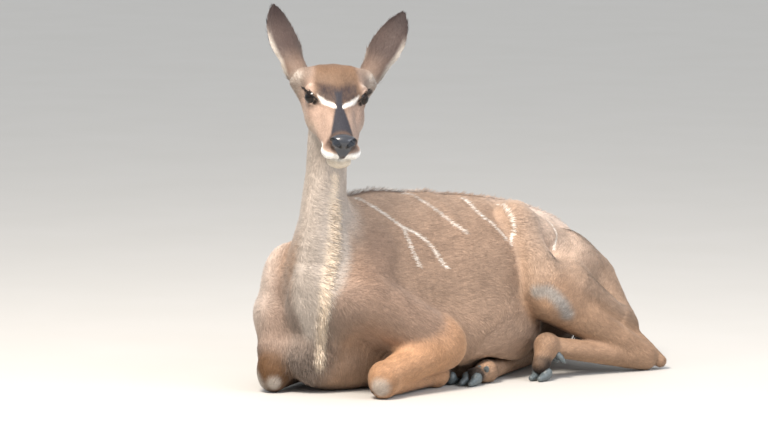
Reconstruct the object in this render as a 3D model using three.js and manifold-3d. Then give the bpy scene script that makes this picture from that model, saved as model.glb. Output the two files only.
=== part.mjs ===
// A young greater kudu cow lying at rest on her brisket, life size, in millimetres.
// +Z is up, -Y is the way the trunk points and +X is her left. The origin is on the floor under the brisket.
// The chest turns a little to her left, the neck stands nearly upright and the head looks further to her left.
// The body is one smooth field, which is skinned and parted by thin cuts into its named pieces.
import * as THREE from "three";
import { mergeVertices } from "three/addons/utils/BufferGeometryUtils.js";
import Module from "manifold-3d";

const wasm = await Module();
wasm.setup();

// Driving sizes
const GAP = 0.4; // kept between pieces that touch
const WELD = 0.03; // points closer than this become one
const HEAD_AT = [130, -86, 676]; // midway between the eyes
const HEAD_YAW = 55; // from -Y towards her left
const HEAD_PITCH = 27; // nose below level
const HEAD_ROLL = 3; // her left side lower
const EYE_R = 20;
const EYE_SPREAD = 52; // from the middle of the head to the middle of an eye
const EYE_RISE = 3; // of its middle over the middle of the head
const EYE_OPEN = [18, 11]; // half length and half height of the gap between the lids
const LID_THICK = 3.6;
const EAR_LENGTH = 178;
const EAR_HALF_WIDTH = 48; // of the ear laid flat
const EAR_THICK = 3.2;
const LOCK_ROOT = 5; // how deep a lock of hair is rooted
const LOCK_THICK = 2.6; // half of its thickness
const LOCK_FLOOR = 9; // no tip hangs lower
const TUFT_LENGTH = 62; // of the locks at the tail's end
const CLAW_HALF = 12.5; // half width of a claw
const CLAW_APART = 12; // from the middle of a foot to the middle of a claw
const CLAW_TOE = 19; // from the hoof's middle forward to the toe
const CLAW_HEEL = 8; // and back to the heel
const SPUR_APART = 10; // from the middle of a foot to a dewclaw

// Grid steps for the skins, finer where the form is finer
const TRUNK_CELL = [30, 46, 30];
const NECK_CELL = [21, 21, 40];
const LEG_CELL = [21, 38, 21];
const FOOT_CELL = [17, 21, 17];
const TAIL_CELL = [16, 20, 31];
const HEAD_CELL = [11.3, 11.3, 11.3];
const CLAW_CELL = [11, 14, 11];

const V = (x, y, z) => new THREE.Vector3(x, y, z);
const rad = THREE.MathUtils.degToRad;
const mix = THREE.MathUtils.lerp;
const clamp = THREE.MathUtils.clamp;

// ## Fields: each gives roughly a distance in mm, negative inside

// A union of two fields, rounded over k.
function soften(a, b, k) {
  const h = Math.max(k - Math.abs(a - b), 0) / k;
  return Math.min(a, b) - (h * h * k) / 4;
}

// An ellipsoid with half sizes r along the three axes of a frame.
function ball(at, r, axes = [V(1, 0, 0), V(0, 1, 0), V(0, 0, 1)]) {
  const [e, f, g] = axes;
  return (x, y, z) => {
    const dx = x - at[0];
    const dy = y - at[1];
    const dz = z - at[2];
    const a = (dx * e.x + dy * e.y + dz * e.z) / r[0];
    const b = (dx * f.x + dy * f.y + dz * f.z) / r[1];
    const c = (dx * g.x + dy * g.y + dz * g.z) / r[2];
    const k0 = Math.hypot(a, b, c);
    const k1 = Math.hypot(a / r[0], b / r[1], c / r[2]);
    return k1 < 1e-9 ? -Math.min(...r) : (k0 * (k0 - 1)) / k1;
  };
}

// A round bar from a to b that tapers from ra to rb.
function bar(a, b, ra, rb) {
  const ab = [b[0] - a[0], b[1] - a[1], b[2] - a[2]];
  const long = ab[0] ** 2 + ab[1] ** 2 + ab[2] ** 2;
  return (x, y, z) => {
    const p = [x - a[0], y - a[1], z - a[2]];
    const t = clamp((p[0] * ab[0] + p[1] * ab[1] + p[2] * ab[2]) / long, 0, 1);
    return Math.hypot(p[0] - ab[0] * t, p[1] - ab[1] * t, p[2] - ab[2] * t) - mix(ra, rb, t);
  };
}

// A body swept through stations of an oval section.
// Each station is at, half width, half height, narrowing towards the top, roll and facing in degrees.
// Facing turns the section's side about the vertical for an upright sweep such as the neck.
function sweep(stations, steps, cap, upright = false) {
  const line = new THREE.CatmullRomCurve3(stations.map((s) => V(...s.at)), false, "centripetal");
  const frames = [];
  for (let i = 0; i <= steps; i++) {
    const u = (i / steps) * (stations.length - 1);
    const j = Math.min(Math.floor(u), stations.length - 2);
    const t = u - j;
    const ease = (key) => mix(stations[j][key] ?? 0, stations[j + 1][key] ?? 0, t);
    const at = line.getPoint(u / (stations.length - 1));
    const ahead = line.getTangent(u / (stations.length - 1));
    const turn = rad(ease("facing"));
    const side = upright ? V(Math.cos(turn), Math.sin(turn), 0) : V(0, 0, 1).cross(ahead).normalize();
    const up = ahead.clone().cross(side).normalize();
    side.crossVectors(up, ahead).normalize();
    const roll = rad(ease("roll"));
    const wide = side.clone().multiplyScalar(Math.cos(roll)).addScaledVector(up, Math.sin(roll));
    const high = up.clone().multiplyScalar(Math.cos(roll)).addScaledVector(side, -Math.sin(roll));
    frames.push({ at, ahead, wide, high, w: ease("w"), h: ease("h"), narrow: ease("narrow") });
  }
  return (x, y, z) => {
    let best = Infinity;
    let k = 0;
    let s = 0;
    for (let i = 0; i < steps; i++) {
      const a = frames[i].at;
      const b = frames[i + 1].at;
      const ex = b.x - a.x;
      const ey = b.y - a.y;
      const ez = b.z - a.z;
      const t = clamp(((x - a.x) * ex + (y - a.y) * ey + (z - a.z) * ez) / (ex * ex + ey * ey + ez * ez), 0, 1);
      const d = Math.hypot(x - a.x - ex * t, y - a.y - ey * t, z - a.z - ez * t);
      if (d < best) [best, k, s] = [d, i, t];
    }
    const f = frames[k];
    const g = frames[k + 1];
    const dx = x - mix(f.at.x, g.at.x, s);
    const dy = y - mix(f.at.y, g.at.y, s);
    const dz = z - mix(f.at.z, g.at.z, s);
    const along = (v, w) =>
      dx * mix(v.x, w.x, s) + dy * mix(v.y, w.y, s) + dz * mix(v.z, w.z, s);
    const h = mix(f.h, g.h, s);
    const q = along(f.high, g.high);
    const w = mix(f.w, g.w, s) * (1 - mix(f.narrow, g.narrow, s) * clamp(q / h, -1, 1));
    const a = along(f.wide, g.wide) / w;
    const b = q / h;
    const c = along(f.ahead, g.ahead) / cap;
    const k0 = Math.hypot(a, b, c);
    const k1 = Math.hypot(a / w, b / h, c / cap);
    return k1 < 1e-9 ? -Math.min(w, h) : (k0 * (k0 - 1)) / k1;
  };
}

// Several fields as one, rounded over k.
function joined(k, ...fields) {
  return (x, y, z) => fields.reduce((d, f) => soften(d, f(x, y, z), k), 1e6);
}

// ## The head's own frame: forward to the nose, to her left and up out of the forehead
const yaw = rad(HEAD_YAW);
const pitch = rad(HEAD_PITCH);
const roll = rad(HEAD_ROLL);
const level = V(Math.sin(yaw), -Math.cos(yaw), 0);
const headFore = level.clone().multiplyScalar(Math.cos(pitch)).add(V(0, 0, -Math.sin(pitch)));
const brow = level.clone().multiplyScalar(Math.sin(pitch)).add(V(0, 0, Math.cos(pitch)));
const flat = V(0, 0, 1).cross(level);
const headLeft = flat.clone().multiplyScalar(Math.cos(roll)).addScaledVector(brow, -Math.sin(roll));
const headUp = brow.clone().multiplyScalar(Math.cos(roll)).addScaledVector(flat, Math.sin(roll));
const headAxes = [headFore, headLeft, headUp];
function inHead(f, l, n) {
  return V(...HEAD_AT).addScaledVector(headFore, f).addScaledVector(headLeft, l).addScaledVector(headUp, n);
}
const headPoint = (f, l, n) => inHead(f, l, n).toArray();
const headBall = (f, l, n, ...r) => ball(headPoint(f, l, n), r, headAxes);

// ## The fields of the body

const trunk = sweep(
  [
    { at: [52, -70, 185], w: 78, h: 112, narrow: 0 },
    { at: [36, -30, 200], w: 112, h: 172, narrow: 0.1 },
    { at: [14, 40, 218], w: 138, h: 222, narrow: 0.26 },
    { at: [-4, 125, 222], w: 156, h: 230, narrow: 0.3 },
    { at: [-12, 225, 216], w: 170, h: 224, narrow: 0.22, roll: -3 },
    { at: [-10, 335, 216], w: 178, h: 218, narrow: 0.16, roll: -6 },
    { at: [-5, 435, 228], w: 170, h: 192, narrow: 0.1, roll: -10 },
    { at: [0, 525, 234], w: 148, h: 170, narrow: 0.05, roll: -16 },
    { at: [-2, 620, 230], w: 124, h: 148, narrow: 0, roll: -18 },
    { at: [-2, 714, 208], w: 106, h: 132, narrow: 0, roll: -16 },
    { at: [-4, 795, 190], w: 78, h: 96, narrow: 0, roll: -12 },
  ],
  44,
  42,
);

const neck = sweep(
  [
    { at: [14, 20, 255], w: 92, h: 130, facing: 22 },
    { at: [28, -30, 325], w: 68, h: 100, facing: 27 },
    { at: [38, -42, 410], w: 55, h: 78, facing: 34 },
    { at: [45, -40, 495], w: 50, h: 66, facing: 40 },
    { at: [50, -38, 590], w: 49, h: 60, facing: 46 },
    { at: [54, -34, 685], w: 48, h: 60, facing: 50 },
  ],
  26,
  45,
  true,
);

const bothSides = (make) => [make(1), make(-1)];
const skull = joined(
  16,
  headBall(-50, 0, -2, 60, 60, 54),
  headBall(-6, 0, -4, 46, 62, 36),
  bar(headPoint(0, 0, -24), headPoint(112, 0, -34), 50, 32),
  ...bothSides((k) => bar(headPoint(-44, 26 * k, -62), headPoint(70, 14 * k, -68), 29, 22)),
  ...bothSides((k) => headBall(-4, 43 * k, -42, 58, 27, 40)),
  ...bothSides((k) => headBall(-8, 47 * k, 4, 28, 25, 22)),
  ...bothSides((k) => bar(headPoint(16, 30 * k, 13), headPoint(-14, 58 * k, 15), 10, 10)),
  ...bothSides((k) => bar(headPoint(-56, 42 * k, 12), headPoint(-66, 72 * k, 14), 37, 24)),
  ...bothSides((k) => bar(headPoint(-62, 82 * k, 0), headPoint(-36, 48 * k, -38), 18, 22)),
);
const muzzle = joined(
  9,
  bar(headPoint(80, 0, -40), headPoint(136, 0, -40), 38, 29),
  ...bothSides((k) => bar(headPoint(24, 34 * k, -46), headPoint(108, 23 * k, -46), 27, 20)),
  ...bothSides((k) => headBall(133, 25 * k, -52, 27, 21, 18)),
  headBall(149, 0, -18, 19, 33, 18),
  bar(headPoint(40, 0, -72), headPoint(118, 0, -80), 26, 21),
  headBall(124, 0, -84, 23, 30, 17),
);

const leftHind = {
  thigh: joined(
    34,
    bar([82, 680, 214], [186, 528, 190], 100, 64),
    bar([104, 752, 192], [228, 732, 100], 64, 38),
    ball([46, 548, 368], [34, 46, 30]),
    bar([112, 504, 338], [184, 514, 214], 38, 54),
    bar([196, 590, 186], [238, 702, 124], 68, 32),
    bar([92, 500, 352], [84, 660, 262], 48, 60),
  ),
  shank: joined(
    14,
    bar([203, 525, 176], [283, 742, 38], 58, 27),
    bar([226, 716, 94], [298, 782, 20], 36, 17),
  ),
  foot: joined(
    14,
    bar([283, 745, 27], [229, 490, 74], 29, 25),
    ball([229, 480, 79], [28, 30, 29]),
    bar([229, 478, 76], [240, 450, 36], 26, 22),
  ),
};

const rightHind = {
  thigh: joined(
    30,
    bar([-66, 665, 152], [-152, 458, 84], 102, 66),
    bar([-60, 745, 130], [-70, 640, 80], 62, 54),
  ),
  shank: joined(
    14,
    bar([-160, 450, 56], [20, 650, 32], 58, 28),
    bar([-40, 660, 46], [10, 705, 22], 26, 18),
  ),
  foot: joined(
    14,
    bar([20, 655, 27], [176, 340, 26], 28, 22),
    ball([178, 336, 27], [24, 26, 24]),
    bar([178, 336, 26], [187, 290, 22], 22, 20),
  ),
};

const leftFore = {
  arm: joined(
    26,
    bar([128, -12, 215], [172, 178, 112], 72, 60),
    bar([90, 60, 318], [126, -10, 220], 42, 58),
  ),
  shank: joined(
    14,
    bar([178, 190, 100], [196, 6, 50], 58, 34),
    ball([198, -6, 44], [36, 36, 42]),
  ),
  foot: joined(
    14,
    bar([197, -4, 28], [152, 192, 25], 25, 21),
    ball([154, 200, 26], [24, 26, 24]),
    bar([154, 200, 25], [140, 238, 22], 22, 20),
  ),
};

const rightFore = {
  arm: joined(
    26,
    bar([-78, -62, 172], [-136, 20, 110], 66, 60),
    bar([-70, 50, 320], [-68, -44, 225], 44, 52),
    ball([-82, -44, 232], [60, 66, 100]),
    bar([-80, -66, 165], [-64, -92, 104], 60, 46),
  ),
  shank: joined(
    14,
    bar([-136, 20, 98], [-54, -106, 56], 60, 40),
    ball([-46, -121, 44], [36, 36, 42]),
  ),
  foot: joined(
    14,
    bar([-46, -118, 28], [-126, 66, 25], 25, 21),
    ball([-130, 74, 26], [24, 26, 24]),
    bar([-130, 74, 25], [-146, 112, 22], 22, 20),
  ),
};

const belly = ball([80, 365, 106], [124, 215, 108]);
const breast = ball([8, 60, 84], [96, 175, 96]);
const seat = ball([10, 620, 96], [104, 150, 96]);

const hull = (x, y, z) => {
  let d = soften(soften(trunk(x, y, z), belly(x, y, z), 40), breast(x, y, z), 30);
  d = soften(d, seat(x, y, z), 40);
  d = soften(d, neck(x, y, z), 46);
  d = soften(d, soften(skull(x, y, z), muzzle(x, y, z), 12), 22);
  d = soften(d, leftHind.thigh(x, y, z), 18);
  d = soften(d, rightHind.thigh(x, y, z), 30);
  d = soften(d, leftFore.arm(x, y, z), 44);
  return soften(d, rightFore.arm(x, y, z), 44);
};

// ## Meshing and cutting

// Surface nets: one point in each cell that the surface crosses, pulled onto it, and a quad over each crossed edge.
function skin(field, lo, hi, cell) {
  const n = lo.map((v, i) => Math.ceil((hi[i] - v) / cell[i]) + 1);
  const id = (i, j, k) => (k * n[1] + j) * n[0] + i;
  const value = new Float64Array(n[0] * n[1] * n[2]);
  for (let k = 0; k < n[2]; k++)
    for (let j = 0; j < n[1]; j++)
      for (let i = 0; i < n[0]; i++) {
        const rim = !i || !j || !k || i === n[0] - 1 || j === n[1] - 1 || k === n[2] - 1;
        const d = field(lo[0] + i * cell[0], lo[1] + j * cell[1], lo[2] + k * cell[2]);
        value[id(i, j, k)] = rim ? Math.max(d, 1) : d;
      }
  const corner = [0, 1, 2, 3, 4, 5, 6, 7].map((c) => [c & 1, (c >> 1) & 1, c >> 2]);
  const edges = [];
  for (let a = 0; a < 8; a++)
    for (const step of [1, 2, 4]) if (!(a & step)) edges.push([a, a | step]);
  const points = [];
  const cellPoint = new Map();
  for (let k = 0; k < n[2] - 1; k++)
    for (let j = 0; j < n[1] - 1; j++)
      for (let i = 0; i < n[0] - 1; i++) {
        const v = corner.map((c) => value[id(i + c[0], j + c[1], k + c[2])]);
        const sum = V(0, 0, 0);
        let hits = 0;
        for (const [a, b] of edges) {
          if (v[a] < 0 === v[b] < 0) continue;
          const t = v[a] / (v[a] - v[b]);
          sum.x += mix(corner[a][0], corner[b][0], t);
          sum.y += mix(corner[a][1], corner[b][1], t);
          sum.z += mix(corner[a][2], corner[b][2], t);
          hits++;
        }
        if (!hits) continue;
        const p = sum.divideScalar(hits).add(V(i, j, k)).multiply(V(...cell)).add(V(...lo));
        cellPoint.set(id(i, j, k), points.length / 3);
        points.push(...settled(p, field, cell, lo, hi).toArray());
      }
  const faces = [];
  const at = (m) => V(points[3 * m], points[3 * m + 1], points[3 * m + 2]);
  const strides = [1, n[0], n[0] * n[1]];
  for (let k = 0; k < n[2] - 1; k++)
    for (let j = 0; j < n[1] - 1; j++)
      for (let i = 0; i < n[0] - 1; i++)
        for (let axis = 0; axis < 3; axis++) {
          const here = id(i, j, k);
          const next = here + strides[axis];
          if (value[here] < 0 === value[next] < 0) continue;
          const s = strides[(axis + 1) % 3];
          const t = strides[(axis + 2) % 3];
          const q = [here - s - t, here - t, here, here - s].map((c) => cellPoint.get(c));
          if (value[here] >= 0) q.reverse();
          if (at(q[0]).distanceTo(at(q[2])) < at(q[1]).distanceTo(at(q[3])))
            faces.push(q[0], q[1], q[2], q[0], q[2], q[3]);
          else faces.push(q[1], q[2], q[3], q[1], q[3], q[0]);
        }
  return solid(points, faces);
}

// A point moved onto the field's surface, unless it lies on the wall of the box.
function settled(p, field, cell, lo, hi) {
  const near = (v, i) => v - lo[i] < cell[i] || hi[i] - v < cell[i];
  if (p.toArray().some(near)) return p;
  const q = p.clone();
  const small = Math.min(...cell);
  const e = 0.05 * small;
  for (let turn = 0; turn < 3; turn++) {
    const d = field(q.x, q.y, q.z);
    const g = V(
      field(q.x + e, q.y, q.z) - field(q.x - e, q.y, q.z),
      field(q.x, q.y + e, q.z) - field(q.x, q.y - e, q.z),
      field(q.x, q.y, q.z + e) - field(q.x, q.y, q.z - e),
    ).divideScalar(2 * e);
    q.addScaledVector(g, -d / Math.max(g.lengthSq(), 0.3));
  }
  const move = q.sub(p);
  return p.addScaledVector(move, Math.min(1, (0.45 * small) / Math.max(move.length(), 1e-6)));
}

function solid(points, faces) {
  return new wasm.Manifold(
    new wasm.Mesh({
      numProp: 3,
      vertProperties: new Float32Array(points),
      triVerts: new Uint32Array(faces),
    }),
  );
}

// A three.js geometry as a solid.
function fromGeometry(geometry) {
  const g = geometry.clone();
  g.deleteAttribute("normal");
  g.deleteAttribute("uv");
  const m = mergeVertices(g, 1e-4);
  return solid(m.attributes.position.array, m.index.array);
}

// All that lies ahead of a plane through a point.
function ahead(point, way) {
  const size = 3000;
  const g = new THREE.BoxGeometry(size, size, size);
  g.translate(0, 0, size / 2);
  g.applyQuaternion(new THREE.Quaternion().setFromUnitVectors(V(0, 0, 1), way.clone().normalize()));
  g.translate(point.x, point.y, point.z);
  return fromGeometry(g);
}

// A solid with its surface moved out along the normals of its points.
function grown(s, by) {
  const m = s.getMesh();
  const g = new THREE.BufferGeometry();
  const points = [];
  for (let i = 0; i < m.numVert; i++)
    points.push(...m.vertProperties.subarray(i * m.numProp, i * m.numProp + 3));
  g.setAttribute("position", new THREE.Float32BufferAttribute(points, 3));
  g.setIndex(new THREE.BufferAttribute(m.triVerts, 1));
  g.computeVertexNormals();
  const normal = g.attributes.normal.array;
  return solid(points.map((v, i) => v + normal[i] * by), m.triVerts);
}

const largest = (s) =>
  s.decompose().reduce((best, b) => (b.volume() > best.volume() ? b : best));

// A closed strand along a line of points, pointed at both ends, with a flat or a round section.
// Its half sizes reach wide and thick at its fullest, as a share of its length, and its flat face looks out.
function strand(line, wide, thick, out, sides = 4, fullest = 0.35) {
  const last = line.length - 1;
  const points = line[0].toArray();
  for (let i = 1; i < last; i++) {
    const way = line[i + 1].clone().sub(line[i - 1]).normalize();
    const across = way.clone().cross(out).normalize();
    const face = across.clone().cross(way);
    const t = i / last;
    const full = t < fullest ? Math.sqrt(t / fullest) : ((1 - t) / (1 - fullest)) ** 0.7;
    for (let k = 0; k < sides; k++) {
      const turn = (2 * Math.PI * k) / sides;
      const p = line[i].clone().addScaledVector(across, Math.cos(turn) * wide * full);
      points.push(...p.addScaledVector(face, Math.sin(turn) * thick * full).toArray());
    }
  }
  points.push(...line[last].toArray());
  const tip = points.length / 3 - 1;
  const faces = [];
  for (let k = 0; k < sides; k++) {
    const next = (k + 1) % sides;
    faces.push(0, 1 + k, 1 + next);
    for (let i = 0; i < last - 2; i++) {
      const a = 1 + i * sides + k;
      const b = 1 + i * sides + next;
      faces.push(a, a + sides, b, b, a + sides, b + sides);
    }
    faces.push(tip, tip - sides + next, tip - sides + k);
  }
  const s = solid(points, faces);
  return s.volume() > 0 ? s : solid(points, faces.map((_, i) => faces[i - (i % 3) + 2 - (i % 3)]));
}

// The nearest point of the body's surface, and the way out of it.
function surface(p) {
  const q = p.clone();
  const e = 0.5;
  let out = V(0, 0, 1);
  for (let turn = 0; turn < 6; turn++) {
    out = V(
      hull(q.x + e, q.y, q.z) - hull(q.x - e, q.y, q.z),
      hull(q.x, q.y + e, q.z) - hull(q.x, q.y - e, q.z),
      hull(q.x, q.y, q.z + e) - hull(q.x, q.y, q.z - e),
    ).divideScalar(2 * e);
    q.addScaledVector(out, -hull(q.x, q.y, q.z) / Math.max(out.lengthSq(), 0.3));
  }
  return { at: q, out: out.normalize() };
}

// ## Locks of longer hair

// Seeded, so that the locks fall the same way each time.
let seed = 11;
function chance(low, high) {
  seed = (seed * 16807) % 2147483647;
  return mix(low, high, seed / 2147483647);
}

// A flat, pointed lock. It leaves the skin nearest to p along lie, lifted off it, and bends down by drop of its length.
function lock(p, lie, length, wide, lift, drop) {
  const { at, out } = surface(p);
  const along = lie.clone().addScaledVector(out, -lie.dot(out)).normalize();
  const start = along.multiplyScalar(Math.cos(lift)).addScaledVector(out, Math.sin(lift));
  const root = at.addScaledVector(out, -LOCK_ROOT);
  const line = [0, 0.22, 0.48, 0.75, 1].map((t) => {
    const q = root.clone().addScaledVector(start, length * t);
    q.z = Math.max(q.z - drop * length * t * t, LOCK_FLOOR);
    return q;
  });
  return strand(line, wide, LOCK_THICK, out, 4, 0.4);
}

// Locks in a loose row along a line on the skin, each beside the row by up to spread.
function locksAlong(line, count, spread, lieAt, length, wide, lift, drop) {
  return Array.from({ length: count }, (_, i) => {
    const u = ((i + 0.5) / count) * (line.length - 1);
    const k = Math.min(Math.floor(u), line.length - 2);
    const p = V(...line[k]).lerp(V(...line[k + 1]), u - k);
    const lie = lieAt(p);
    const side = lie.clone().cross(surface(p).out).normalize();
    p.addScaledVector(side, (i % 2 ? 1 : -1) * spread * chance(0.5, 1));
    lie.addScaledVector(side, chance(-0.2, 0.2));
    return lock(p, lie, length * chance(0.85, 1.15), wide * chance(0.85, 1.15), lift, drop);
  });
}

// Joins locks to a form.
const dressed = (form, locks) => locks.reduce((s, one) => s.add(one), form);

const group = new THREE.Group();
const floor = ahead(V(0, 0, 0), V(0, 0, 1));
const made = [];

// A piece, clear of the pieces already made and of the floor, as a named mesh.
function piece(name, body, colour, roughness = 0.85) {
  let s = body.intersect(floor);
  for (const other of made) {
    const a = other.cutter.boundingBox();
    const b = s.boundingBox();
    const near = [0, 1, 2].every((i) => a.min[i] < b.max[i] && b.min[i] < a.max[i]);
    if (near && s.intersect(other.cutter).volume() > 0) s = s.subtract(other.cutter);
  }
  s = largest(s.setTolerance(WELD));
  made.push({ name, solid: s, cutter: grown(s, GAP) });
  const m = s.getMesh();
  const points = [];
  for (let i = 0; i < m.numVert; i++)
    points.push(...m.vertProperties.subarray(i * m.numProp, i * m.numProp + 3));
  const g = new THREE.BufferGeometry();
  g.setAttribute("position", new THREE.Float32BufferAttribute(points, 3));
  g.setIndex(new THREE.BufferAttribute(m.triVerts, 1));
  const material = new THREE.MeshStandardMaterial({ color: colour, roughness, metalness: 0 });
  const mesh = new THREE.Mesh(g, material);
  mesh.name = name;
  group.add(mesh);
}

// ## Eyes and ears

const mirrored = (side, f, l, n) =>
  headFore.clone().multiplyScalar(f).addScaledVector(headLeft, side * l).addScaledVector(headUp, n).normalize();
const eyes = [[1, "left"], [-1, "right"]].map(([side, name]) => {
  const middle = inHead(0, side * EYE_SPREAD, EYE_RISE);
  const look = mirrored(side, 0.55, 0.8, 0.2); // sideways and forward
  // Along the gap to its front corner.
  const corner = mirrored(side, 0.78, -0.6, -0.12);
  corner.addScaledVector(look, -corner.dot(look)).normalize();
  const rise = look.clone().cross(corner).multiplyScalar(-side).normalize();
  const g = new THREE.SphereGeometry(EYE_R, 12, 8);
  g.translate(...middle.toArray());
  piece(`eye_${name}`, fromGeometry(g), "#1a1210", 0.08);
  return { middle, look, corner, rise };
});

// A point of the ball's front, a off its middle along the gap and b up, lifted off it by clear.
function onEye(eye, a, b, clear) {
  const deep = Math.sqrt(Math.max(EYE_R ** 2 - a * a - b * b, 0));
  const p = eye.look.clone().multiplyScalar(deep).addScaledVector(eye.corner, a).addScaledVector(eye.rise, b);
  return p.normalize().multiplyScalar(EYE_R + clear).add(eye.middle);
}

// A lid as a bent cord over the ball from one corner of the gap to the other.
function lid(eye, up) {
  const steps = 6;
  const line = Array.from({ length: steps + 1 }, (_, i) => {
    const t = (Math.PI * i) / steps;
    const [long, high] = EYE_OPEN;
    return onEye(eye, -1.25 * long * Math.cos(t), up * (high + LID_THICK) * Math.sin(t) ** 0.8, 0.5);
  });
  return strand(line, LID_THICK * 1.2, LID_THICK, eye.look, 5, 0.5);
}

// The hollow between the lids.
function gap(eye) {
  const [long, high] = EYE_OPEN;
  const g = new THREE.SphereGeometry(1, 10, 6);
  g.scale(long, high, 1.5 * EYE_R);
  g.applyMatrix4(new THREE.Matrix4().makeBasis(eye.corner, eye.rise, eye.corner.clone().cross(eye.rise)));
  g.translate(...eye.middle.clone().addScaledVector(eye.look, 0.8 * EYE_R).toArray());
  return fromGeometry(g);
}

// An ear as a leaf curled about its length: the back faces out, and the cup opens at the root into a short tube.
function ear(root, tip, open) {
  const rows = 11;
  const cols = 7;
  const way = tip.clone().sub(root).normalize();
  const mouth = open.clone().addScaledVector(way, -open.dot(way)).normalize();
  const across = way.clone().cross(mouth).normalize();
  const length = tip.distanceTo(root);
  const shape = (t, u, inset) => {
    const leaf = 0.42 + 0.58 * Math.sin(Math.PI * Math.min(1, 0.13 + t * 0.62)) ** 1.2;
    const half = EAR_HALF_WIDTH * mix(1.3, leaf, Math.min(1, 3.5 * t)) * Math.sqrt(Math.max(1 - t ** 3.2, 0.0035));
    const curl = rad(mix(150, 48, Math.min(1, t * 2.3) ** 0.7)) * mix(1, 0.6, t);
    const r = half / curl;
    const bow = 10 * Math.sin(Math.PI * t) + 12 * t * t;
    const a = u * curl;
    return root
      .clone()
      .addScaledVector(way, length * t)
      .addScaledVector(mouth, r - (r - inset) * Math.cos(a) + bow - 0.35 * EAR_HALF_WIDTH)
      .addScaledVector(across, (r - inset) * Math.sin(a));
  };
  const points = [];
  const faces = [];
  const floorRow = 3; // the cup's floor starts here
  for (const inner of [0, 1])
    for (let i = 0; i <= rows; i++)
      for (let j = 0; j <= cols; j++) {
        const t = i / rows;
        const inset = inner ? mix(EAR_THICK, EAR_THICK * 0.5, t) : 0;
        points.push(...shape(inner ? Math.max(t, floorRow / rows) : t, (2 * j) / cols - 1, inset).toArray());
      }
  const id = (inner, i, j) => (inner * (rows + 1) + i) * (cols + 1) + j;
  const quad = (a, b, c, d) => faces.push(a, b, c, a, c, d);
  for (let i = 0; i < rows; i++)
    for (let j = 0; j < cols; j++) {
      quad(id(0, i, j), id(0, i, j + 1), id(0, i + 1, j + 1), id(0, i + 1, j));
      if (i >= floorRow) quad(id(1, i, j), id(1, i + 1, j), id(1, i + 1, j + 1), id(1, i, j + 1));
    }
  for (let i = floorRow; i < rows; i++) {
    quad(id(0, i, 0), id(0, i + 1, 0), id(1, i + 1, 0), id(1, i, 0));
    quad(id(0, i, cols), id(1, i, cols), id(1, i + 1, cols), id(0, i + 1, cols));
  }
  for (let j = 0; j < cols; j++) quad(id(0, rows, j), id(0, rows, j + 1), id(1, rows, j + 1), id(1, rows, j));
  // The root tube's wall past its seam, its closed end, and the floor of the cup.
  for (let i = 0; i < floorRow; i++) quad(id(0, i, cols), id(0, i, 0), id(0, i + 1, 0), id(0, i + 1, cols));
  const fan = (ids, flip) => {
    const c = points.length / 3;
    const m = ids.reduce((s, q) => s.add(V(points[3 * q], points[3 * q + 1], points[3 * q + 2])), V(0, 0, 0));
    points.push(...m.divideScalar(ids.length).toArray());
    ids.forEach((q, k) => {
      const next = ids[(k + 1) % ids.length];
      flip ? faces.push(c, next, q) : faces.push(c, q, next);
    });
  };
  const row = (inner, i) => Array.from({ length: cols + 1 }, (_, j) => id(inner, i, j));
  fan(row(0, 0), true);
  const cupFloor = row(1, floorRow);
  fan(cupFloor, false);
  faces.push(id(0, floorRow, cols), id(0, floorRow, 0), id(1, floorRow, 0));
  faces.push(id(0, floorRow, cols), id(1, floorRow, 0), id(1, floorRow, cols));
  const s = solid(points, faces);
  return s.volume() < 0 ? solid(points, faces.map((q, k) => faces[k - (k % 3) + 2 - (k % 3)])) : s;
}

const earRoot = (side) => inHead(-66, side * 70, 14);
const earRight = earRoot(-1).add(V(-0.515, -0.035, 0.857).multiplyScalar(EAR_LENGTH));
const earLeft = earRoot(1).add(V(0.05, 0.617, 0.785).multiplyScalar(EAR_LENGTH));
piece("ear_right", ear(earRoot(-1), earRight, V(-0.99, 0.03, -0.08)), "#7d6f68");
piece("ear_left", ear(earRoot(1), earLeft, V(-0.3, 0.93, -0.08)), "#7d6f68");

// ## Head, neck and trunk

const headCut = inHead(-30, 0, -95);
const headWay = headFore.clone().multiplyScalar(0.139).addScaledVector(headUp, 0.99);
const neckCut = V(34, -38, 335);
const neckWay = V(0.308, -0.66, 0.686);
const above = (point, way, by = 0) => ahead(point.clone().addScaledVector(way, by), way);
const below = (point, way, by = 0) => ahead(point.clone().addScaledVector(way, -by), way.clone().negate());

// A line drawn on the head in its own frame, on its left (1) or its right (-1), laid on the skin.
const drawn = (side, points) => points.map(([f, l, n]) => surface(inHead(f, side * l, n)).at);
const MOUTH = [[84, 39, -61], [100, 40, -65], [116, 38, -69], [132, 31, -71], [143, 17, -72], [147, 0, -71]];
const NOSTRIL = [[168, 8, -24], [167, 12, -19], [163, 18, -14], [157, 24, -11], [149, 29, -10]];
let headForm = skin(hull, [-30, -250, 520], [290, 90, 790], HEAD_CELL).intersect(above(headCut, headWay));
for (const eye of eyes) headForm = headForm.subtract(gap(eye)).add(lid(eye, 1)).add(lid(eye, -1));
const mouth = [...drawn(1, MOUTH), ...drawn(-1, MOUTH.slice(0, -1)).reverse()];
headForm = headForm.subtract(strand(mouth, 7, 1.5, headUp, 4, 0.5));
for (const side of [1, -1]) {
  headForm = headForm.subtract(strand(drawn(side, NOSTRIL), 3.6, 6, mirrored(side, 0.8, 0.5, 0), 5, 0.3));
}
piece("head", headForm, "#a88f7c");
const neckSkin = skin(hull, [-140, -200, 200], [190, 180, 780], NECK_CELL);
const neckForm = neckSkin.intersect(below(headCut, headWay, GAP)).intersect(above(neckCut, neckWay));
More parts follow.
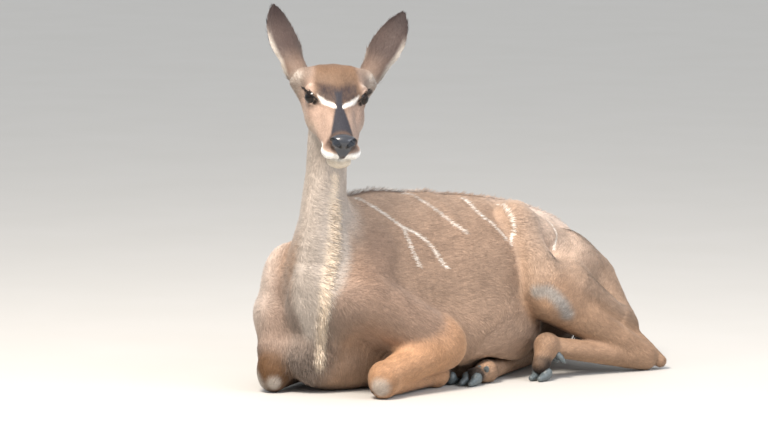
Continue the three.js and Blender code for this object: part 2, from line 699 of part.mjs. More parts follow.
// The ridge of long hair down the throat, from under the jaw to the neck's foot, and on down the breast.
const THROAT = [[102, -62, 515], [101, -73, 441], [102, -77, 379], [104, -92, 318]];
const BREAST = [[100, -106, 228], [95, -103, 192], [80, -94, 146], [66, -84, 104]];
const down = () => V(0, 0.1, -1);
const throatLocks = locksAlong(THROAT, 12, 9, down, 44, 10, rad(20), 0.1);
piece("neck", dressed(neckForm, throatLocks), "#b09c86");

// ## Trunk, with the shoulders, upper arms and thighs

// A straight hollow between two points, eight-sided, for a limb that lies under the trunk.
function hollow(a, b, ra, rb) {
  const way = b.clone().sub(a);
  const g = new THREE.CylinderGeometry(rb, ra, way.length(), 8);
  g.applyQuaternion(new THREE.Quaternion().setFromUnitVectors(V(0, 1, 0), way.clone().normalize()));
  g.translate(...a.clone().addScaledVector(way, 0.5).toArray());
  return fromGeometry(g);
}

const COAT = "#b18b68";
const TAN = "#b98a5e";
const DARK = "#2c2b30";
const room = [
  hollow(V(-30, 750, 20), V(176, 336, 22), 37, 34), // for the right hind shank
  hollow(V(172, 350, 18), V(196, 230, 14), 36, 34), // for the right hind foot
  hollow(V(158, 180, 24), V(130, 300, 10), 35, 33), // for the left fore foot
  hollow(V(-124, 56, 24), V(-160, 170, 10), 34, 33), // for the right fore foot
];
const trunkSkin = skin(hull, [-330, -300, -40], [330, 960, 560], TRUNK_CELL);
const torso = room.reduce((form, hole) => form.subtract(hole), trunkSkin.intersect(below(neckCut, neckWay, GAP)));
// Locks on the breast, beside it down to the brisket, and along the withers.
const BRISKET_LEFT = [[104, -60, 150], [98, -52, 104], [92, -50, 80]];
const BRISKET_RIGHT = [[46, -100, 124], [38, -102, 100], [30, -98, 84]];
const WITHERS = [[10, 70, 446], [6, 110, 447], [0, 170, 446], [-8, 250, 440]];
const coat = [
  ...locksAlong(BREAST, 10, 9, down, 46, 10, rad(20), 0.1),
  ...locksAlong(BRISKET_LEFT, 3, 6, down, 40, 9, rad(16), 0.1),
  ...locksAlong(BRISKET_RIGHT, 3, 6, down, 40, 9, rad(16), 0.1),
  ...locksAlong(WITHERS, 8, 6, () => V(0, 1, 0), 40, 8, rad(17), 0),
];
piece("torso", dressed(torso, coat), COAT);

// ## Feet and legs

// A claw is a blunt wedge: a low toe ahead of a rounded heel.
function claw(toe, heel, half) {
  return joined(
    5,
    bar(heel, toe, half, half * 0.55),
    ball([heel[0], heel[1], heel[2] + half * 0.5], [half, half, half * 0.9]),
  );
}

// The cut at a joint halves the angle between the two bones, moved towards the upper one by shift.
function parting(joint, upper, lower, shift = 0) {
  const j = V(...joint);
  const a = V(...upper).sub(j).normalize();
  const b = V(...lower).sub(j).normalize();
  const way = a.sub(b).normalize();
  return { point: j.addScaledVector(way, shift), way };
}

const legs = [
  {
    side: "left",
    end: "hind",
    knee: [203, 520, 180],
    hock: [283, 745, 32],
    fetlock: [229, 480, 78],
    hoof: [242, 446, 14],
    toe: [0.18, -0.98],
    spurs: [246, 496, 50],
    spurWay: [0.45, 0.5, -0.74],
    limb: leftHind,
    hocks: 16,
  },
  {
    side: "right",
    end: "hind",
    knee: [-160, 450, 74],
    hock: [20, 655, 27],
    fetlock: [178, 336, 27],
    hoof: [188, 274, 14],
    toe: [0.25, -0.97],
    spurs: [188, 312, 34],
    spurWay: [0.75, -0.45, 0.48],
    limb: rightHind,
    hocks: 8,
  },
  {
    side: "left",
    end: "fore",
    knee: [182, 190, 100],
    hock: [198, -4, 40],
    fetlock: [154, 200, 25],
    hoof: [136, 254, 14],
    toe: [-0.28, 0.96],
    spurs: [146, 222, 44],
    spurWay: [-0.3, 0.6, 0.74],
    limb: leftFore,
    hocks: -10,
  },
  {
    side: "right",
    end: "fore",
    knee: [-140, 32, 102],
    hock: [-46, -118, 40],
    fetlock: [-130, 74, 25],
    hoof: [-153, 127, 14],
    toe: [-0.37, 0.93],
    spurs: [-138, 96, 44],
    spurWay: [-0.15, 0.65, 0.74],
    limb: rightFore,
    hocks: -10,
  },
];

const boxAround = (pad, ...points) => [
  [0, 1, 2].map((i) => Math.min(...points.map((p) => p[i])) - pad),
  [0, 1, 2].map((i) => Math.max(...points.map((p) => p[i])) + pad),
];

for (const leg of legs) {
  const tag = `${leg.end}_${leg.side}`;
  const [fx, fy] = leg.toe;
  for (const [k, pair] of [[1, "outer"], [-1, "inner"]]) {
    const apart = V(-fy, fx, 0).multiplyScalar(CLAW_APART * k);
    const middle = V(leg.hoof[0], leg.hoof[1], 0).add(apart);
    const toe = [middle.x + fx * CLAW_TOE, middle.y + fy * CLAW_TOE, 7];
    const heel = [middle.x - fx * CLAW_HEEL, middle.y - fy * CLAW_HEEL, 14];
    const box = boxAround(24, toe, heel);
    const half = ahead(V(leg.hoof[0], leg.hoof[1], 0).addScaledVector(apart, 0.04), apart);
    const block = skin(claw(toe, heel, CLAW_HALF), ...box, CLAW_CELL);
    piece(`claw_${tag}_${pair}`, block.intersect(half), DARK, 0.35);
    const way = V(...leg.spurWay).normalize();
    const spurRoot = V(...leg.spurs).addScaledVector(apart.normalize(), SPUR_APART);
    const spurLine = [-9, 0, 9, 17].map((d) => spurRoot.clone().addScaledVector(way, d));
    piece(`dewclaw_${tag}_${pair}`, strand(spurLine, 8.5, 7.5, V(-way.y, way.x, 0.2).normalize(), 6), DARK, 0.4);
  }
  const hock = parting(leg.hock, leg.knee, leg.fetlock, leg.hocks);
  const ankle = parting(leg.fetlock, leg.hock, leg.hoof, -8);
  const chain = joined(14, leg.limb.shank, leg.limb.foot);
  const foot = skin(leg.limb.foot, ...boxAround(46, leg.fetlock, leg.hoof), FOOT_CELL);
  piece(`pastern_${tag}`, foot.intersect(below(ankle.point, ankle.way, GAP)), TAN);
  const shin = leg.end === "fore" ? chain : leg.limb.foot;
  const cannon = skin(shin, ...boxAround(70, leg.hock, leg.fetlock), LEG_CELL);
  piece(
    `cannon_${tag}`,
    cannon.intersect(above(ankle.point, ankle.way)).intersect(below(hock.point, hock.way, GAP)),
    TAN,
  );
  const shank = skin(chain, ...boxAround(100, leg.knee, leg.hock), LEG_CELL);
  const name = leg.end === "fore" ? "forearm" : "gaskin";
  piece(`${name}_${leg.side}`, shank.intersect(above(hock.point, hock.way)), TAN);
}

// ## Tail

const tailLine = sweep(
  [
    { at: [-6, 745, 262], w: 27, h: 22 },
    { at: [-12, 806, 256], w: 21, h: 17 },
    { at: [-20, 838, 215], w: 17, h: 14 },
    { at: [-30, 848, 155], w: 18, h: 14 },
    { at: [-42, 858, 95], w: 19, h: 14 },
    { at: [-52, 870, 56], w: 13, h: 11 },
  ],
  24,
  9,
);
const tailForm = skin(tailLine, [-130, 710, -20], [70, 960, 320], TAIL_CELL);

// The tuft: locks rooted inside the tail at four heights, three at each, that fan out and hang down.
const tuft = [[-32, 850, 140], [-38, 855, 115], [-44, 861, 90], [-49, 866, 72]].flatMap((at, row) =>
  [0, 1, 2].map((k) => {
    const turn = (2 * Math.PI * (k + row / 2)) / 3 + 0.4;
    const out = V(Math.cos(turn), Math.sin(turn), 0);
    const length = TUFT_LENGTH * chance(0.85, 1.05);
    const root = V(...at).addScaledVector(out, 4);
    const line = [0, 0.22, 0.48, 0.75, 1].map((t) => {
      const q = root.clone().addScaledVector(out, 0.42 * length * t * (1 - 0.5 * t));
      q.x -= 0.2 * length * t;
      q.y += 0.2 * length * t;
      q.z = Math.max(q.z - 0.9 * length * t, LOCK_FLOOR);
      return q;
    });
    return strand(line, 10, LOCK_THICK, out, 4, 0.45);
  }),
);
piece("tail", dressed(tailForm, tuft), "#9c8068");

export default group;
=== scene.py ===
# %% [markdown]
# # A young greater kudu cow, lying at rest
#
# Greater kudu are large African antelopes. This one is a young cow: no horns, large round ears,
# a pale ridge of longer hair down the throat and thin white stripes over a fawn flank.
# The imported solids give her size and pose. This notebook gives her one seamless skin, a coat of
# separate locks of hair that follow its lie, wet eyes with lashes, a moist nose and horn claws.
# Her shape is written as a smooth field, the same one as the solids were cut from, so the skin
# lies everywhere just under their surface, by the depth of the coat.

import bpy
import math
import bmesh
import numpy as np
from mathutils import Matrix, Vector


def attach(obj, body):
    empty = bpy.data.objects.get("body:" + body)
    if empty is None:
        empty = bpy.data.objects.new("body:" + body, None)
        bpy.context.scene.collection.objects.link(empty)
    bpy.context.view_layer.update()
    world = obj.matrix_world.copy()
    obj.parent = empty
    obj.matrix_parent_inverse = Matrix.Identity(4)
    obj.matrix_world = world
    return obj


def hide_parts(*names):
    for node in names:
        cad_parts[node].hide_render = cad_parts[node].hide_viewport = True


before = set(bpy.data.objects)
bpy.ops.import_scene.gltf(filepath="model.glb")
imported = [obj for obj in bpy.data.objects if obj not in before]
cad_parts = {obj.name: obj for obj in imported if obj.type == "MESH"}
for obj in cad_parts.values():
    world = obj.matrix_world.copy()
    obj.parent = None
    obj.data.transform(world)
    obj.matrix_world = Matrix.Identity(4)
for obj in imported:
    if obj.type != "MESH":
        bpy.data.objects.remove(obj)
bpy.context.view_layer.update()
MM = 0.001

# %% [markdown]
# ## Fields
#
# A field tells for each point how far it lies from a surface, in millimetres, and is negative
# inside. Sculptors block a body out of simple masses and smooth the clay over the joins. Fields do
# the same in numbers: balls, tapered bars and swept ovals are joined with a rounded minimum, so
# muscle runs into muscle without a seam. A plain mesh union would leave a crease at each join.

# %% Rounded joins and cuts


def soften(a, b, k):
    h = np.maximum(k - np.abs(a - b), 0) / k
    return np.minimum(a, b) - h * h * k / 4


def carve(a, b, k):
    return -soften(-a, b, k)


def joined(k, *fields):
    def field(p):
        d = fields[0](p)
        for f in fields[1:]:
            d = soften(d, f(p), k)
        return d

    return field


def smooth(low, high, x):
    t = np.clip((x - low) / (high - low), 0, 1)
    return t * t * (3 - 2 * t)


corner_fill = -soften(np.zeros(1), np.zeros(1), 16)[0]
print("a join rounded by 16 mm fills its corner by", corner_fill, "mm")

# %% Masses: an ellipsoid, a tapered bar and a cord through several points
UPRIGHT = np.eye(3)


def ball(at, r, axes=UPRIGHT):
    at, r = np.array(at, float), np.array(r, float)

    def field(p):
        q = ((p - at) @ axes.T) / r
        k0 = np.sqrt((q * q).sum(1))
        k1 = np.sqrt(((q / r) ** 2).sum(1))
        return np.where(k1 < 1e-9, -r.min(), k0 * (k0 - 1) / np.maximum(k1, 1e-9))

    return field


def along(p, a, b):
    ab = b - a
    t = np.clip(((p - a) @ ab) / (ab @ ab), 0, 1)
    return t, np.sqrt(((p - a - t[:, None] * ab) ** 2).sum(1))


def bar(a, b, ra, rb):
    a, b = np.array(a, float), np.array(b, float)

    def field(p):
        t, d = along(p, a, b)
        return d - (ra + (rb - ra) * t)

    return field


def cord(points, radii):
    points = np.array(points, float)

    def field(p):
        best = np.full(len(p), 1e6)
        for i in range(len(points) - 1):
            t, d = along(p, points[i], points[i + 1])
            best = np.minimum(best, d - (radii[i] + (radii[i + 1] - radii[i]) * t))
        return best

    return field


off_ball = ball([0, 0, 0], [10, 10, 10])(np.array([[15.0, 0, 0]]))[0]
print("a point 15 mm from the middle of a 10 mm ball is", off_ball, "mm off it")

# %% [markdown]
# ## Swept ovals for trunk, neck and tail
#
# A trunk isn't a row of balls. It is an oval section that changes along the spine, deep and
# keel-shaped at the chest and rounder at the loin. A smooth line runs through a few stations, and
# each point is measured against the section at the nearest place on that line.

# %% A smooth line through stations, and an oval swept along it


def catmull(points, steps):
    """Points and headings along a centripetal Catmull-Rom line, at even parameter steps."""
    p = np.array(points, float)
    ends = [2 * p[0] - p[1], *p, 2 * p[-1] - p[-2]]
    out, way = [], []
    for i in range(steps + 1):
        u = i / steps * (len(p) - 1)
        j = min(int(u), len(p) - 2)
        q = np.array(ends[j : j + 4])
        gaps = np.maximum(np.sqrt(np.linalg.norm(np.diff(q, axis=0), axis=1)), 1e-4)
        k = np.concatenate([[0], np.cumsum(gaps)])
        out.append(barry(q, k, k[1] + (u - j) * gaps[1]))
        e = 1e-3 * gaps[1]
        way.append(barry(q, k, k[1] + (u - j) * gaps[1] + e) - barry(q, k, k[1] + (u - j) * gaps[1] - e))
    way = np.array(way)
    return np.array(out), way / np.linalg.norm(way, axis=1)[:, None]


def barry(q, k, t):
    a = [((k[i + 1] - t) * q[i] + (t - k[i]) * q[i + 1]) / (k[i + 1] - k[i]) for i in range(3)]
    b = [((k[i + 2] - t) * a[i] + (t - k[i]) * a[i + 1]) / (k[i + 2] - k[i]) for i in range(2)]
    return ((k[2] - t) * b[0] + (t - k[1]) * b[1]) / (k[2] - k[1])


def unit(v):
    return v / np.maximum(np.linalg.norm(v, axis=-1, keepdims=True), 1e-9)


def sweep(stations, steps, cap, upright=False):
    """Stations are at, half width, half height, narrowing to the top, roll and facing."""
    line, way = catmull([s[0] for s in stations], steps)
    rows = []
    for i in range(steps + 1):
        u = i / steps * (len(stations) - 1)
        j = min(int(u), len(stations) - 2)
        low, high = (np.array(stations[j + k][1:], float) for k in (0, 1))
        w, h, narrow, roll, facing = low + (high - low) * (u - j)
        turn, roll = np.radians(facing), np.radians(roll)
        side = np.array([np.cos(turn), np.sin(turn), 0]) if upright else unit(np.cross([0, 0, 1], way[i]))
        up = unit(np.cross(way[i], side))
        side = np.cross(up, way[i])
        wide = side * np.cos(roll) + up * np.sin(roll)
        high_way = up * np.cos(roll) - side * np.sin(roll)
        rows.append([w, h, narrow, *way[i], *wide, *high_way])
    rows = np.array(rows)

    def field(p):
        best = np.full(len(p), np.inf)
        where, share = np.zeros(len(p), int), np.zeros(len(p))
        for i in range(steps):
            t, d = along(p, line[i], line[i + 1])
            closer = d < best
            best[closer], where[closer], share[closer] = d[closer], i, t[closer]
        s = share[:, None]
        r = rows[where] * (1 - s) + rows[where + 1] * s
        off = p - (line[where] * (1 - s) + line[where + 1] * s)
        q = (off * r[:, 9:12]).sum(1)
        w = r[:, 0] * (1 - r[:, 2] * np.clip(q / r[:, 1], -1, 1))
        a, b, c = (off * r[:, 6:9]).sum(1) / w, q / r[:, 1], (off * r[:, 3:6]).sum(1) / cap
        k0 = np.sqrt(a * a + b * b + c * c)
        k1 = np.sqrt((a / w) ** 2 + (b / r[:, 1]) ** 2 + (c / cap) ** 2)
        return np.where(k1 < 1e-9, -np.minimum(w, r[:, 1]), k0 * (k0 - 1) / np.maximum(k1, 1e-9))

    return field


NEAR_ENOUGH = 60


def within(centre, reach, field):
    """A field measured only near its mass: further off, a plain distance stands in for it."""
    centre = np.array(centre, float)

    def limited(p):
        d = np.linalg.norm(p - centre, axis=1) - reach + NEAR_ENOUGH
        near = d < NEAR_ENOUGH
        if near.any():
            d[near] = field(p[near])
        return d

    return limited


bend = catmull([[0, 0, 0], [100, 0, 0], [100, 100, 0]], 20)[0]
print("a line round a corner is", round(np.linalg.norm(np.diff(bend, axis=0), axis=1).sum()), "mm long")

# %% [markdown]
# ## The head's own frame
#
# The head is turned to her left and its nose drops below level, as in the photograph. Everything
# on it is placed in a frame of its own: forward to the nose, to her left, and up out of the
# forehead. That keeps both sides of the face alike, and a turn of the head is one number.

# %% Directions of the head
HEAD_AT = np.array([130.0, -86.0, 676.0])  # midway between the eyes
HEAD_YAW, HEAD_PITCH, HEAD_ROLL = math.radians(55), math.radians(27), math.radians(3)
level = np.array([math.sin(HEAD_YAW), -math.cos(HEAD_YAW), 0])
HEAD_FORE = level * math.cos(HEAD_PITCH) - np.array([0, 0, math.sin(HEAD_PITCH)])
brow = level * math.sin(HEAD_PITCH) + np.array([0, 0, math.cos(HEAD_PITCH)])
flat = np.cross([0, 0, 1], level)
HEAD_LEFT = flat * math.cos(HEAD_ROLL) - brow * math.sin(HEAD_ROLL)
HEAD_UP = brow * math.cos(HEAD_ROLL) + flat * math.sin(HEAD_ROLL)
HEAD_AXES = np.array([HEAD_FORE, HEAD_LEFT, HEAD_UP])


def in_head(f, l, n):
    return HEAD_AT + f * HEAD_FORE + l * HEAD_LEFT + n * HEAD_UP


def head_ball(f, l, n, *r):
    return ball(in_head(f, l, n), r, HEAD_AXES)


def head_bar(a, b, ra, rb):
    return bar(in_head(*a), in_head(*b), ra, rb)


print("the nose points", np.round(HEAD_FORE, 2))

# %% [markdown]
# ## Masses of the body
#
# The same masses as in the solids: trunk, breast, belly, neck, skull, muzzle and the folded legs.
# She lies on her brisket with both forelegs folded under the chest. Her left hind leg is drawn up
# beside the flank, and the right hind foot comes out under the belly on the same side.

# %% Trunk and neck
trunk = sweep(
    [
        [[52, -70, 185], 78, 112, 0, 0, 0],
        [[36, -30, 200], 112, 172, 0.1, 0, 0],
        [[14, 40, 218], 138, 222, 0.26, 0, 0],
        [[-4, 125, 222], 156, 230, 0.3, 0, 0],
        [[-12, 225, 216], 170, 224, 0.22, -3, 0],
        [[-10, 335, 216], 178, 218, 0.16, -6, 0],
        [[-5, 435, 228], 170, 192, 0.1, -10, 0],
        [[0, 525, 234], 148, 170, 0.05, -16, 0],
        [[-2, 620, 230], 124, 148, 0, -18, 0],
        [[-2, 714, 208], 106, 132, 0, -16, 0],
        [[-4, 795, 190], 78, 96, 0, -12, 0],
    ],
    44,
    42,
)
neck = sweep(
    [
        [[14, 20, 255], 92, 130, 0, 0, 22],
        [[28, -30, 325], 68, 100, 0, 0, 27],
        [[38, -42, 410], 55, 78, 0, 0, 34],
        [[45, -40, 495], 50, 66, 0, 0, 40],
        [[50, -38, 590], 49, 60, 0, 0, 46],
        [[54, -34, 685], 48, 60, 0, 0, 50],
    ],
    26,
    45,
    True,
)
belly = ball([80, 365, 106], [124, 215, 108])
breast = ball([8, 60, 84], [96, 175, 96])
seat = ball([10, 620, 96], [104, 150, 96])
TRUNK_MIDDLE = np.array([[-10.0, 335, 216]])
print("the middle of the trunk lies", round(-trunk(TRUNK_MIDDLE)[0]), "mm under its surface")

# %% Skull and muzzle
SIDES = (1, -1)
skull = joined(
    16,
    head_ball(-50, 0, -2, 60, 60, 54),
    head_ball(-6, 0, -4, 46, 62, 36),
    head_bar((0, 0, -24), (112, 0, -34), 50, 32),
    *[head_bar((-44, 26 * k, -62), (70, 14 * k, -68), 29, 22) for k in SIDES],
    *[head_ball(-4, 43 * k, -42, 58, 27, 40) for k in SIDES],
    *[head_ball(-8, 47 * k, 4, 28, 25, 22) for k in SIDES],
    *[head_bar((16, 30 * k, 13), (-14, 58 * k, 15), 10, 10) for k in SIDES],
    *[head_bar((-56, 42 * k, 12), (-66, 72 * k, 14), 37, 24) for k in SIDES],
    *[head_bar((-62, 82 * k, 0), (-36, 48 * k, -38), 18, 22) for k in SIDES],
)
muzzle = joined(
    9,
    head_bar((80, 0, -40), (136, 0, -40), 38, 29),
    *[head_bar((24, 34 * k, -46), (108, 23 * k, -46), 27, 20) for k in SIDES],
    *[head_ball(133, 25 * k, -52, 27, 21, 18) for k in SIDES],
    head_ball(149, 0, -18, 19, 33, 18),
    head_bar((40, 0, -72), (118, 0, -80), 26, 21),
    head_ball(124, 0, -84, 23, 30, 17),
)
print("between the eyes the skull is solid for", round(-skull(HEAD_AT[None])[0]), "mm round")

# %% Legs: thigh or upper arm, shank, and foot
LEFT_HIND = dict(
    upper=joined(
        34,
        bar([82, 680, 214], [186, 528, 190], 100, 64),
        bar([104, 752, 192], [228, 732, 100], 64, 38),
        ball([46, 548, 368], [34, 46, 30]),
        bar([112, 504, 338], [184, 514, 214], 38, 54),
        bar([196, 590, 186], [238, 702, 124], 68, 32),
        bar([92, 500, 352], [84, 660, 262], 48, 60),
    ),
    shank=joined(
        14,
        bar([203, 525, 176], [283, 742, 38], 58, 27),
        bar([226, 716, 94], [298, 782, 20], 36, 17),
    ),
    foot=joined(
        14,
        bar([283, 745, 27], [229, 490, 74], 29, 25),
        ball([229, 480, 79], [28, 30, 29]),
        bar([229, 478, 76], [240, 450, 36], 26, 22),
    ),
    joints=[[92, 690, 262], [203, 520, 180], [283, 745, 32], [229, 480, 78], [242, 446, 14]],
)
RIGHT_HIND = dict(
    upper=joined(
        30,
        bar([-66, 665, 152], [-152, 458, 84], 102, 66),
        bar([-60, 745, 130], [-70, 640, 80], 62, 54),
    ),
    shank=joined(
        14,
        bar([-160, 450, 56], [20, 650, 32], 58, 28),
        bar([-40, 660, 46], [10, 705, 22], 26, 18),
    ),
    foot=joined(
        14,
        bar([20, 655, 27], [176, 340, 26], 28, 22),
        ball([178, 336, 27], [24, 26, 24]),
        bar([178, 336, 26], [187, 290, 22], 22, 20),
    ),
    joints=[[-66, 665, 200], [-160, 450, 74], [20, 655, 27], [178, 336, 27], [188, 274, 14]],
)
LEFT_FORE = dict(
    upper=joined(
        26,
        bar([128, -12, 215], [172, 178, 112], 72, 60),
        bar([90, 60, 318], [126, -10, 220], 42, 58),
    ),
    shank=joined(14, bar([178, 190, 100], [196, 6, 50], 58, 34), ball([198, -6, 44], [36, 36, 42])),
    foot=joined(
        14,
        bar([197, -4, 28], [152, 192, 25], 25, 21),
        ball([154, 200, 26], [24, 26, 24]),
        bar([154, 200, 25], [140, 238, 22], 22, 20),
    ),
    joints=[[118, 0, 250], [182, 190, 100], [198, -4, 40], [154, 200, 25], [136, 254, 14]],
)
RIGHT_FORE = dict(
    upper=joined(
        26,
        bar([-78, -62, 172], [-136, 20, 110], 66, 60),
        bar([-70, 50, 320], [-68, -44, 225], 44, 52),
        ball([-82, -44, 232], [60, 66, 100]),
        bar([-80, -66, 165], [-64, -92, 104], 60, 46),
    ),
    shank=joined(14, bar([-136, 20, 98], [-54, -106, 56], 60, 40), ball([-46, -121, 44], [36, 36, 42])),
    foot=joined(
        14,
        bar([-46, -118, 28], [-126, 66, 25], 25, 21),
        ball([-130, 74, 26], [24, 26, 24]),
        bar([-130, 74, 25], [-146, 112, 22], 22, 20),
    ),
    joints=[[-72, -40, 230], [-140, 32, 102], [-46, -118, 40], [-130, 74, 25], [-153, 127, 14]],
)
LEGS = [LEFT_HIND, RIGHT_HIND, LEFT_FORE, RIGHT_FORE]
LEG_REACH = 420
for leg in LEGS:
    middle = np.mean(leg["joints"], axis=0)
    for part in ("upper", "shank", "foot"):
        leg[part] = within(middle, LEG_REACH, leg[part])

tail = within(
    [-30, 830, 150],
    260,
    sweep(
        [
            [[-6, 745, 262], 27, 22, 0, 0, 0],
            [[-12, 806, 256], 21, 17, 0, 0, 0],
            [[-20, 838, 215], 17, 14, 0, 0, 0],
            [[-30, 848, 155], 18, 14, 0, 0, 0],
            [[-42, 858, 95], 19, 14, 0, 0, 0],
            [[-52, 870, 56], 13, 11, 0, 0, 0],
        ],
        24,
        9,
    ),
)
print(len(LEGS), "legs in place")

# %% The whole flesh, and the part of each mass in it
head_form = within(in_head(20, 0, -30), 190, lambda p: soften(skull(p), muzzle(p), 12))
neck_form = within([40, -20, 460], 420, neck)

# Where a leg lies under the trunk, the belly gives way.
folded_under = [
    bar([-30, 750, 20], [176, 336, 22], 36, 34),
    bar([176, 336, 22], [196, 230, 14], 34, 32),
    bar([158, 180, 24], [130, 300, 10], 33, 32),
    bar([-124, 56, 24], [-160, 170, 10], 33, 32),
]


def flesh(p):
    d = soften(trunk(p), belly(p), 40)
    d = soften(d, breast(p), 30)
    d = soften(d, seat(p), 40)
    for leg in folded_under:
        d = carve(d, leg(p), 10)
    d = soften(d, neck_form(p), 46)
    d = soften(d, head_form(p), 22)
    for leg, k in zip(LEGS, (18, 30, 44, 44)):
        d = soften(d, leg["upper"](p), k)
    for leg, k in zip(LEGS, (12, 12, 26, 26)):
        d = soften(d, soften(leg["shank"](p), leg["foot"](p), 14), k)
    return soften(d, tail(p), 12)


def slope(field, p, e=0.5):
    """Value and outward direction of a field, from four samples round each point."""
    corners = np.array([[1, 1, 1], [1, -1, -1], [-1, 1, -1], [-1, -1, 1]], float)
    values = [field(p + e * c) for c in corners]
    grad = sum(v[:, None] * c for v, c in zip(values, corners)) / (4 * e)
    return sum(values) / 4, grad


def settle(field, p, steps=3, most=4.0):
    """Slides points along the slope until they lie on the surface."""
    for _ in range(steps):
        value, grad = slope(field, p)
        size = np.maximum((grad * grad).sum(1), 0.05)
        move = (value / size)[:, None] * grad
        far = np.maximum(np.linalg.norm(move, axis=1) / most, 1)
        p = p - move / far[:, None]
    return p


print("the chest lies", round(-flesh(np.array([[0.0, 200, 220]]))[0]), "mm under the surface")

# %% [markdown]
# ## From a field to a mesh
#
# Blender's metaballs could join the masses, but they can't sweep an oval or cut a mouth. So the
# field is sampled on a grid, first coarsely and then finely only near the surface. Each cell that
# the surface passes gets one vertex, each grid edge that it crosses gets one face. Then every
# vertex slides along the slope until it sits on the surface, which takes away all grid steps.

# %% A net of four-sided faces over a field
BLOCK = 4
POINTS_AT_ONCE = 200000


def sample(field, lo, hi, cell):
    n = np.ceil((np.array(hi) - lo) / (cell * BLOCK)).astype(int) * BLOCK
    blocks = n // BLOCK
    grid = np.stack(np.meshgrid(*[np.arange(k + 1) for k in blocks], indexing="ij"), -1)
    rough = field(lo + grid.reshape(-1, 3) * cell * BLOCK).reshape(blocks + 1)
    values = rough.repeat(BLOCK, 0).repeat(BLOCK, 1).repeat(BLOCK, 2)
    values = values[: n[0] + 1, : n[1] + 1, : n[2] + 1]
    close = np.abs(rough) < cell * BLOCK * 1.25
    active = np.zeros(blocks, bool)
    for i, j, k in np.ndindex(2, 2, 2):
        active |= close[i : blocks[0] + i, j : blocks[1] + j, k : blocks[2] + k]
    at = np.argwhere(active) * BLOCK
    fine = np.zeros(n + 1, bool)
    for step in np.ndindex(BLOCK + 1, BLOCK + 1, BLOCK + 1):
        fine[tuple((at + step).T)] = True
    points = np.argwhere(fine)
    batches = np.array_split(points, len(points) // POINTS_AT_ONCE + 1)
    values[fine] = np.concatenate([field(lo + q * cell) for q in batches])
    return values


def net(field, lo, hi, cell):
    lo = np.array(lo, float)
    values = sample(field, lo, hi, cell)
    inside = values < 0
    crossings, cells = [], []
    for axis in range(3):
        step, u, v = np.eye(3, dtype=int)[[axis, (axis + 1) % 3, (axis + 2) % 3]]
        first = tuple(slice(0, -1) if i == axis else slice(None) for i in range(3))
        second = tuple(slice(1, None) if i == axis else slice(None) for i in range(3))
        start = np.argwhere(inside[first] != inside[second])
        a, b = values[tuple(start.T)], values[tuple((start + step).T)]
        crossings.append(start + step * (a / (a - b))[:, None])
        ring = np.stack([start, start - u, start - u - v, start - v], 1)
        ring[a > 0] = ring[a > 0][:, ::-1]
        cells.append(ring)
    crossings, cells = np.concatenate(crossings), np.concatenate(cells)
    size = values.shape
    keys = (cells[..., 0] * size[1] + cells[..., 1]) * size[2] + cells[..., 2]
    _, faces = np.unique(keys, return_inverse=True)
    faces = faces.reshape(-1, 4)
    count = np.bincount(faces.ravel())
    points = [np.bincount(faces.ravel(), np.repeat(crossings[:, i], 4)) / count for i in range(3)]
    return lo + np.stack(points, 1) * cell, faces


test_faces = net(ball([0, 0, 0], [20, 20, 20]), [-25] * 3, [25] * 3, 5.0)[1]
print("a 20 mm ball takes", len(test_faces), "faces of 5 mm")

# %% A mesh object from points in millimetres


def rgb(code):
    """sRGB hex to linear."""
    c = np.array([int(code[i : i + 2], 16) for i in (1, 3, 5)]) / 255
    return np.where(c <= 0.04045, c / 12.92, ((c + 0.055) / 1.055) ** 2.4)


def mesh_object(name, points, faces, smooth_faces=True):
    mesh = bpy.data.meshes.new(name)
    points, faces = np.asarray(points, np.float32) * MM, np.asarray(faces, np.int32)
    sides = faces.shape[1]
    mesh.vertices.add(len(points))
    mesh.vertices.foreach_set("co", points.ravel())
    mesh.loops.add(faces.size)
    mesh.loops.foreach_set("vertex_index", faces.ravel())
    mesh.polygons.add(len(faces))
    mesh.polygons.foreach_set("loop_start", np.arange(len(faces), dtype=np.int32) * sides)
    mesh.polygons.foreach_set("use_smooth", np.full(len(faces), smooth_faces))
    mesh.update(calc_edges=True)
    piece = bpy.data.objects.new(name, mesh)
    bpy.context.collection.objects.link(piece)
    return piece


def paint(piece, colours, name="tint"):
    layer = piece.data.color_attributes.new(name, "FLOAT_COLOR", "POINT")
    rgba = np.ones((len(colours), 4), np.float32)
    rgba[:, :3] = colours
    layer.data.foreach_set("color", rgba.ravel())


def points_of(piece):
    co = np.empty(len(piece.data.vertices) * 3, np.float32)
    piece.data.vertices.foreach_get("co", co)
    return co.reshape(-1, 3).astype(float) / MM


print("the sRGB code #808080 is", np.round(rgb("#808080"), 3), "in linear light")

# %% [markdown]
# ## One seamless skin
#
# A museum model has one skin from nose to hoof. Here it's a net over the flesh field, about 5 mm
# a face on the body. The face needs more, so its faces are divided again and laid on a field that
# also has the sockets, lids, nostrils and mouth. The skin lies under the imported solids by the
# depth of the coat: 6 mm on the trunk, half that on the legs, and least round eyes and nose.

# %% Eyes, lids, nostrils and mouth, drawn on the head
EYE_R, EYE_SPREAD, EYE_RISE = 20, 52, 3
EYE_LONG, EYE_HIGH = 18, 11


def mirrored(side, f, l, n):
    return unit(f * HEAD_FORE + side * l * HEAD_LEFT + n * HEAD_UP)


def make_eye(side):
    look, corner = mirrored(side, 0.55, 0.8, 0.2), mirrored(side, 0.78, -0.6, -0.12)
    corner = unit(corner - look * (corner @ look))
    return dict(side=side, middle=in_head(0, side * EYE_SPREAD, EYE_RISE), look=look, corner=corner,
                rise=unit(-side * np.cross(look, corner)))


EYES = [make_eye(side) for side in SIDES]


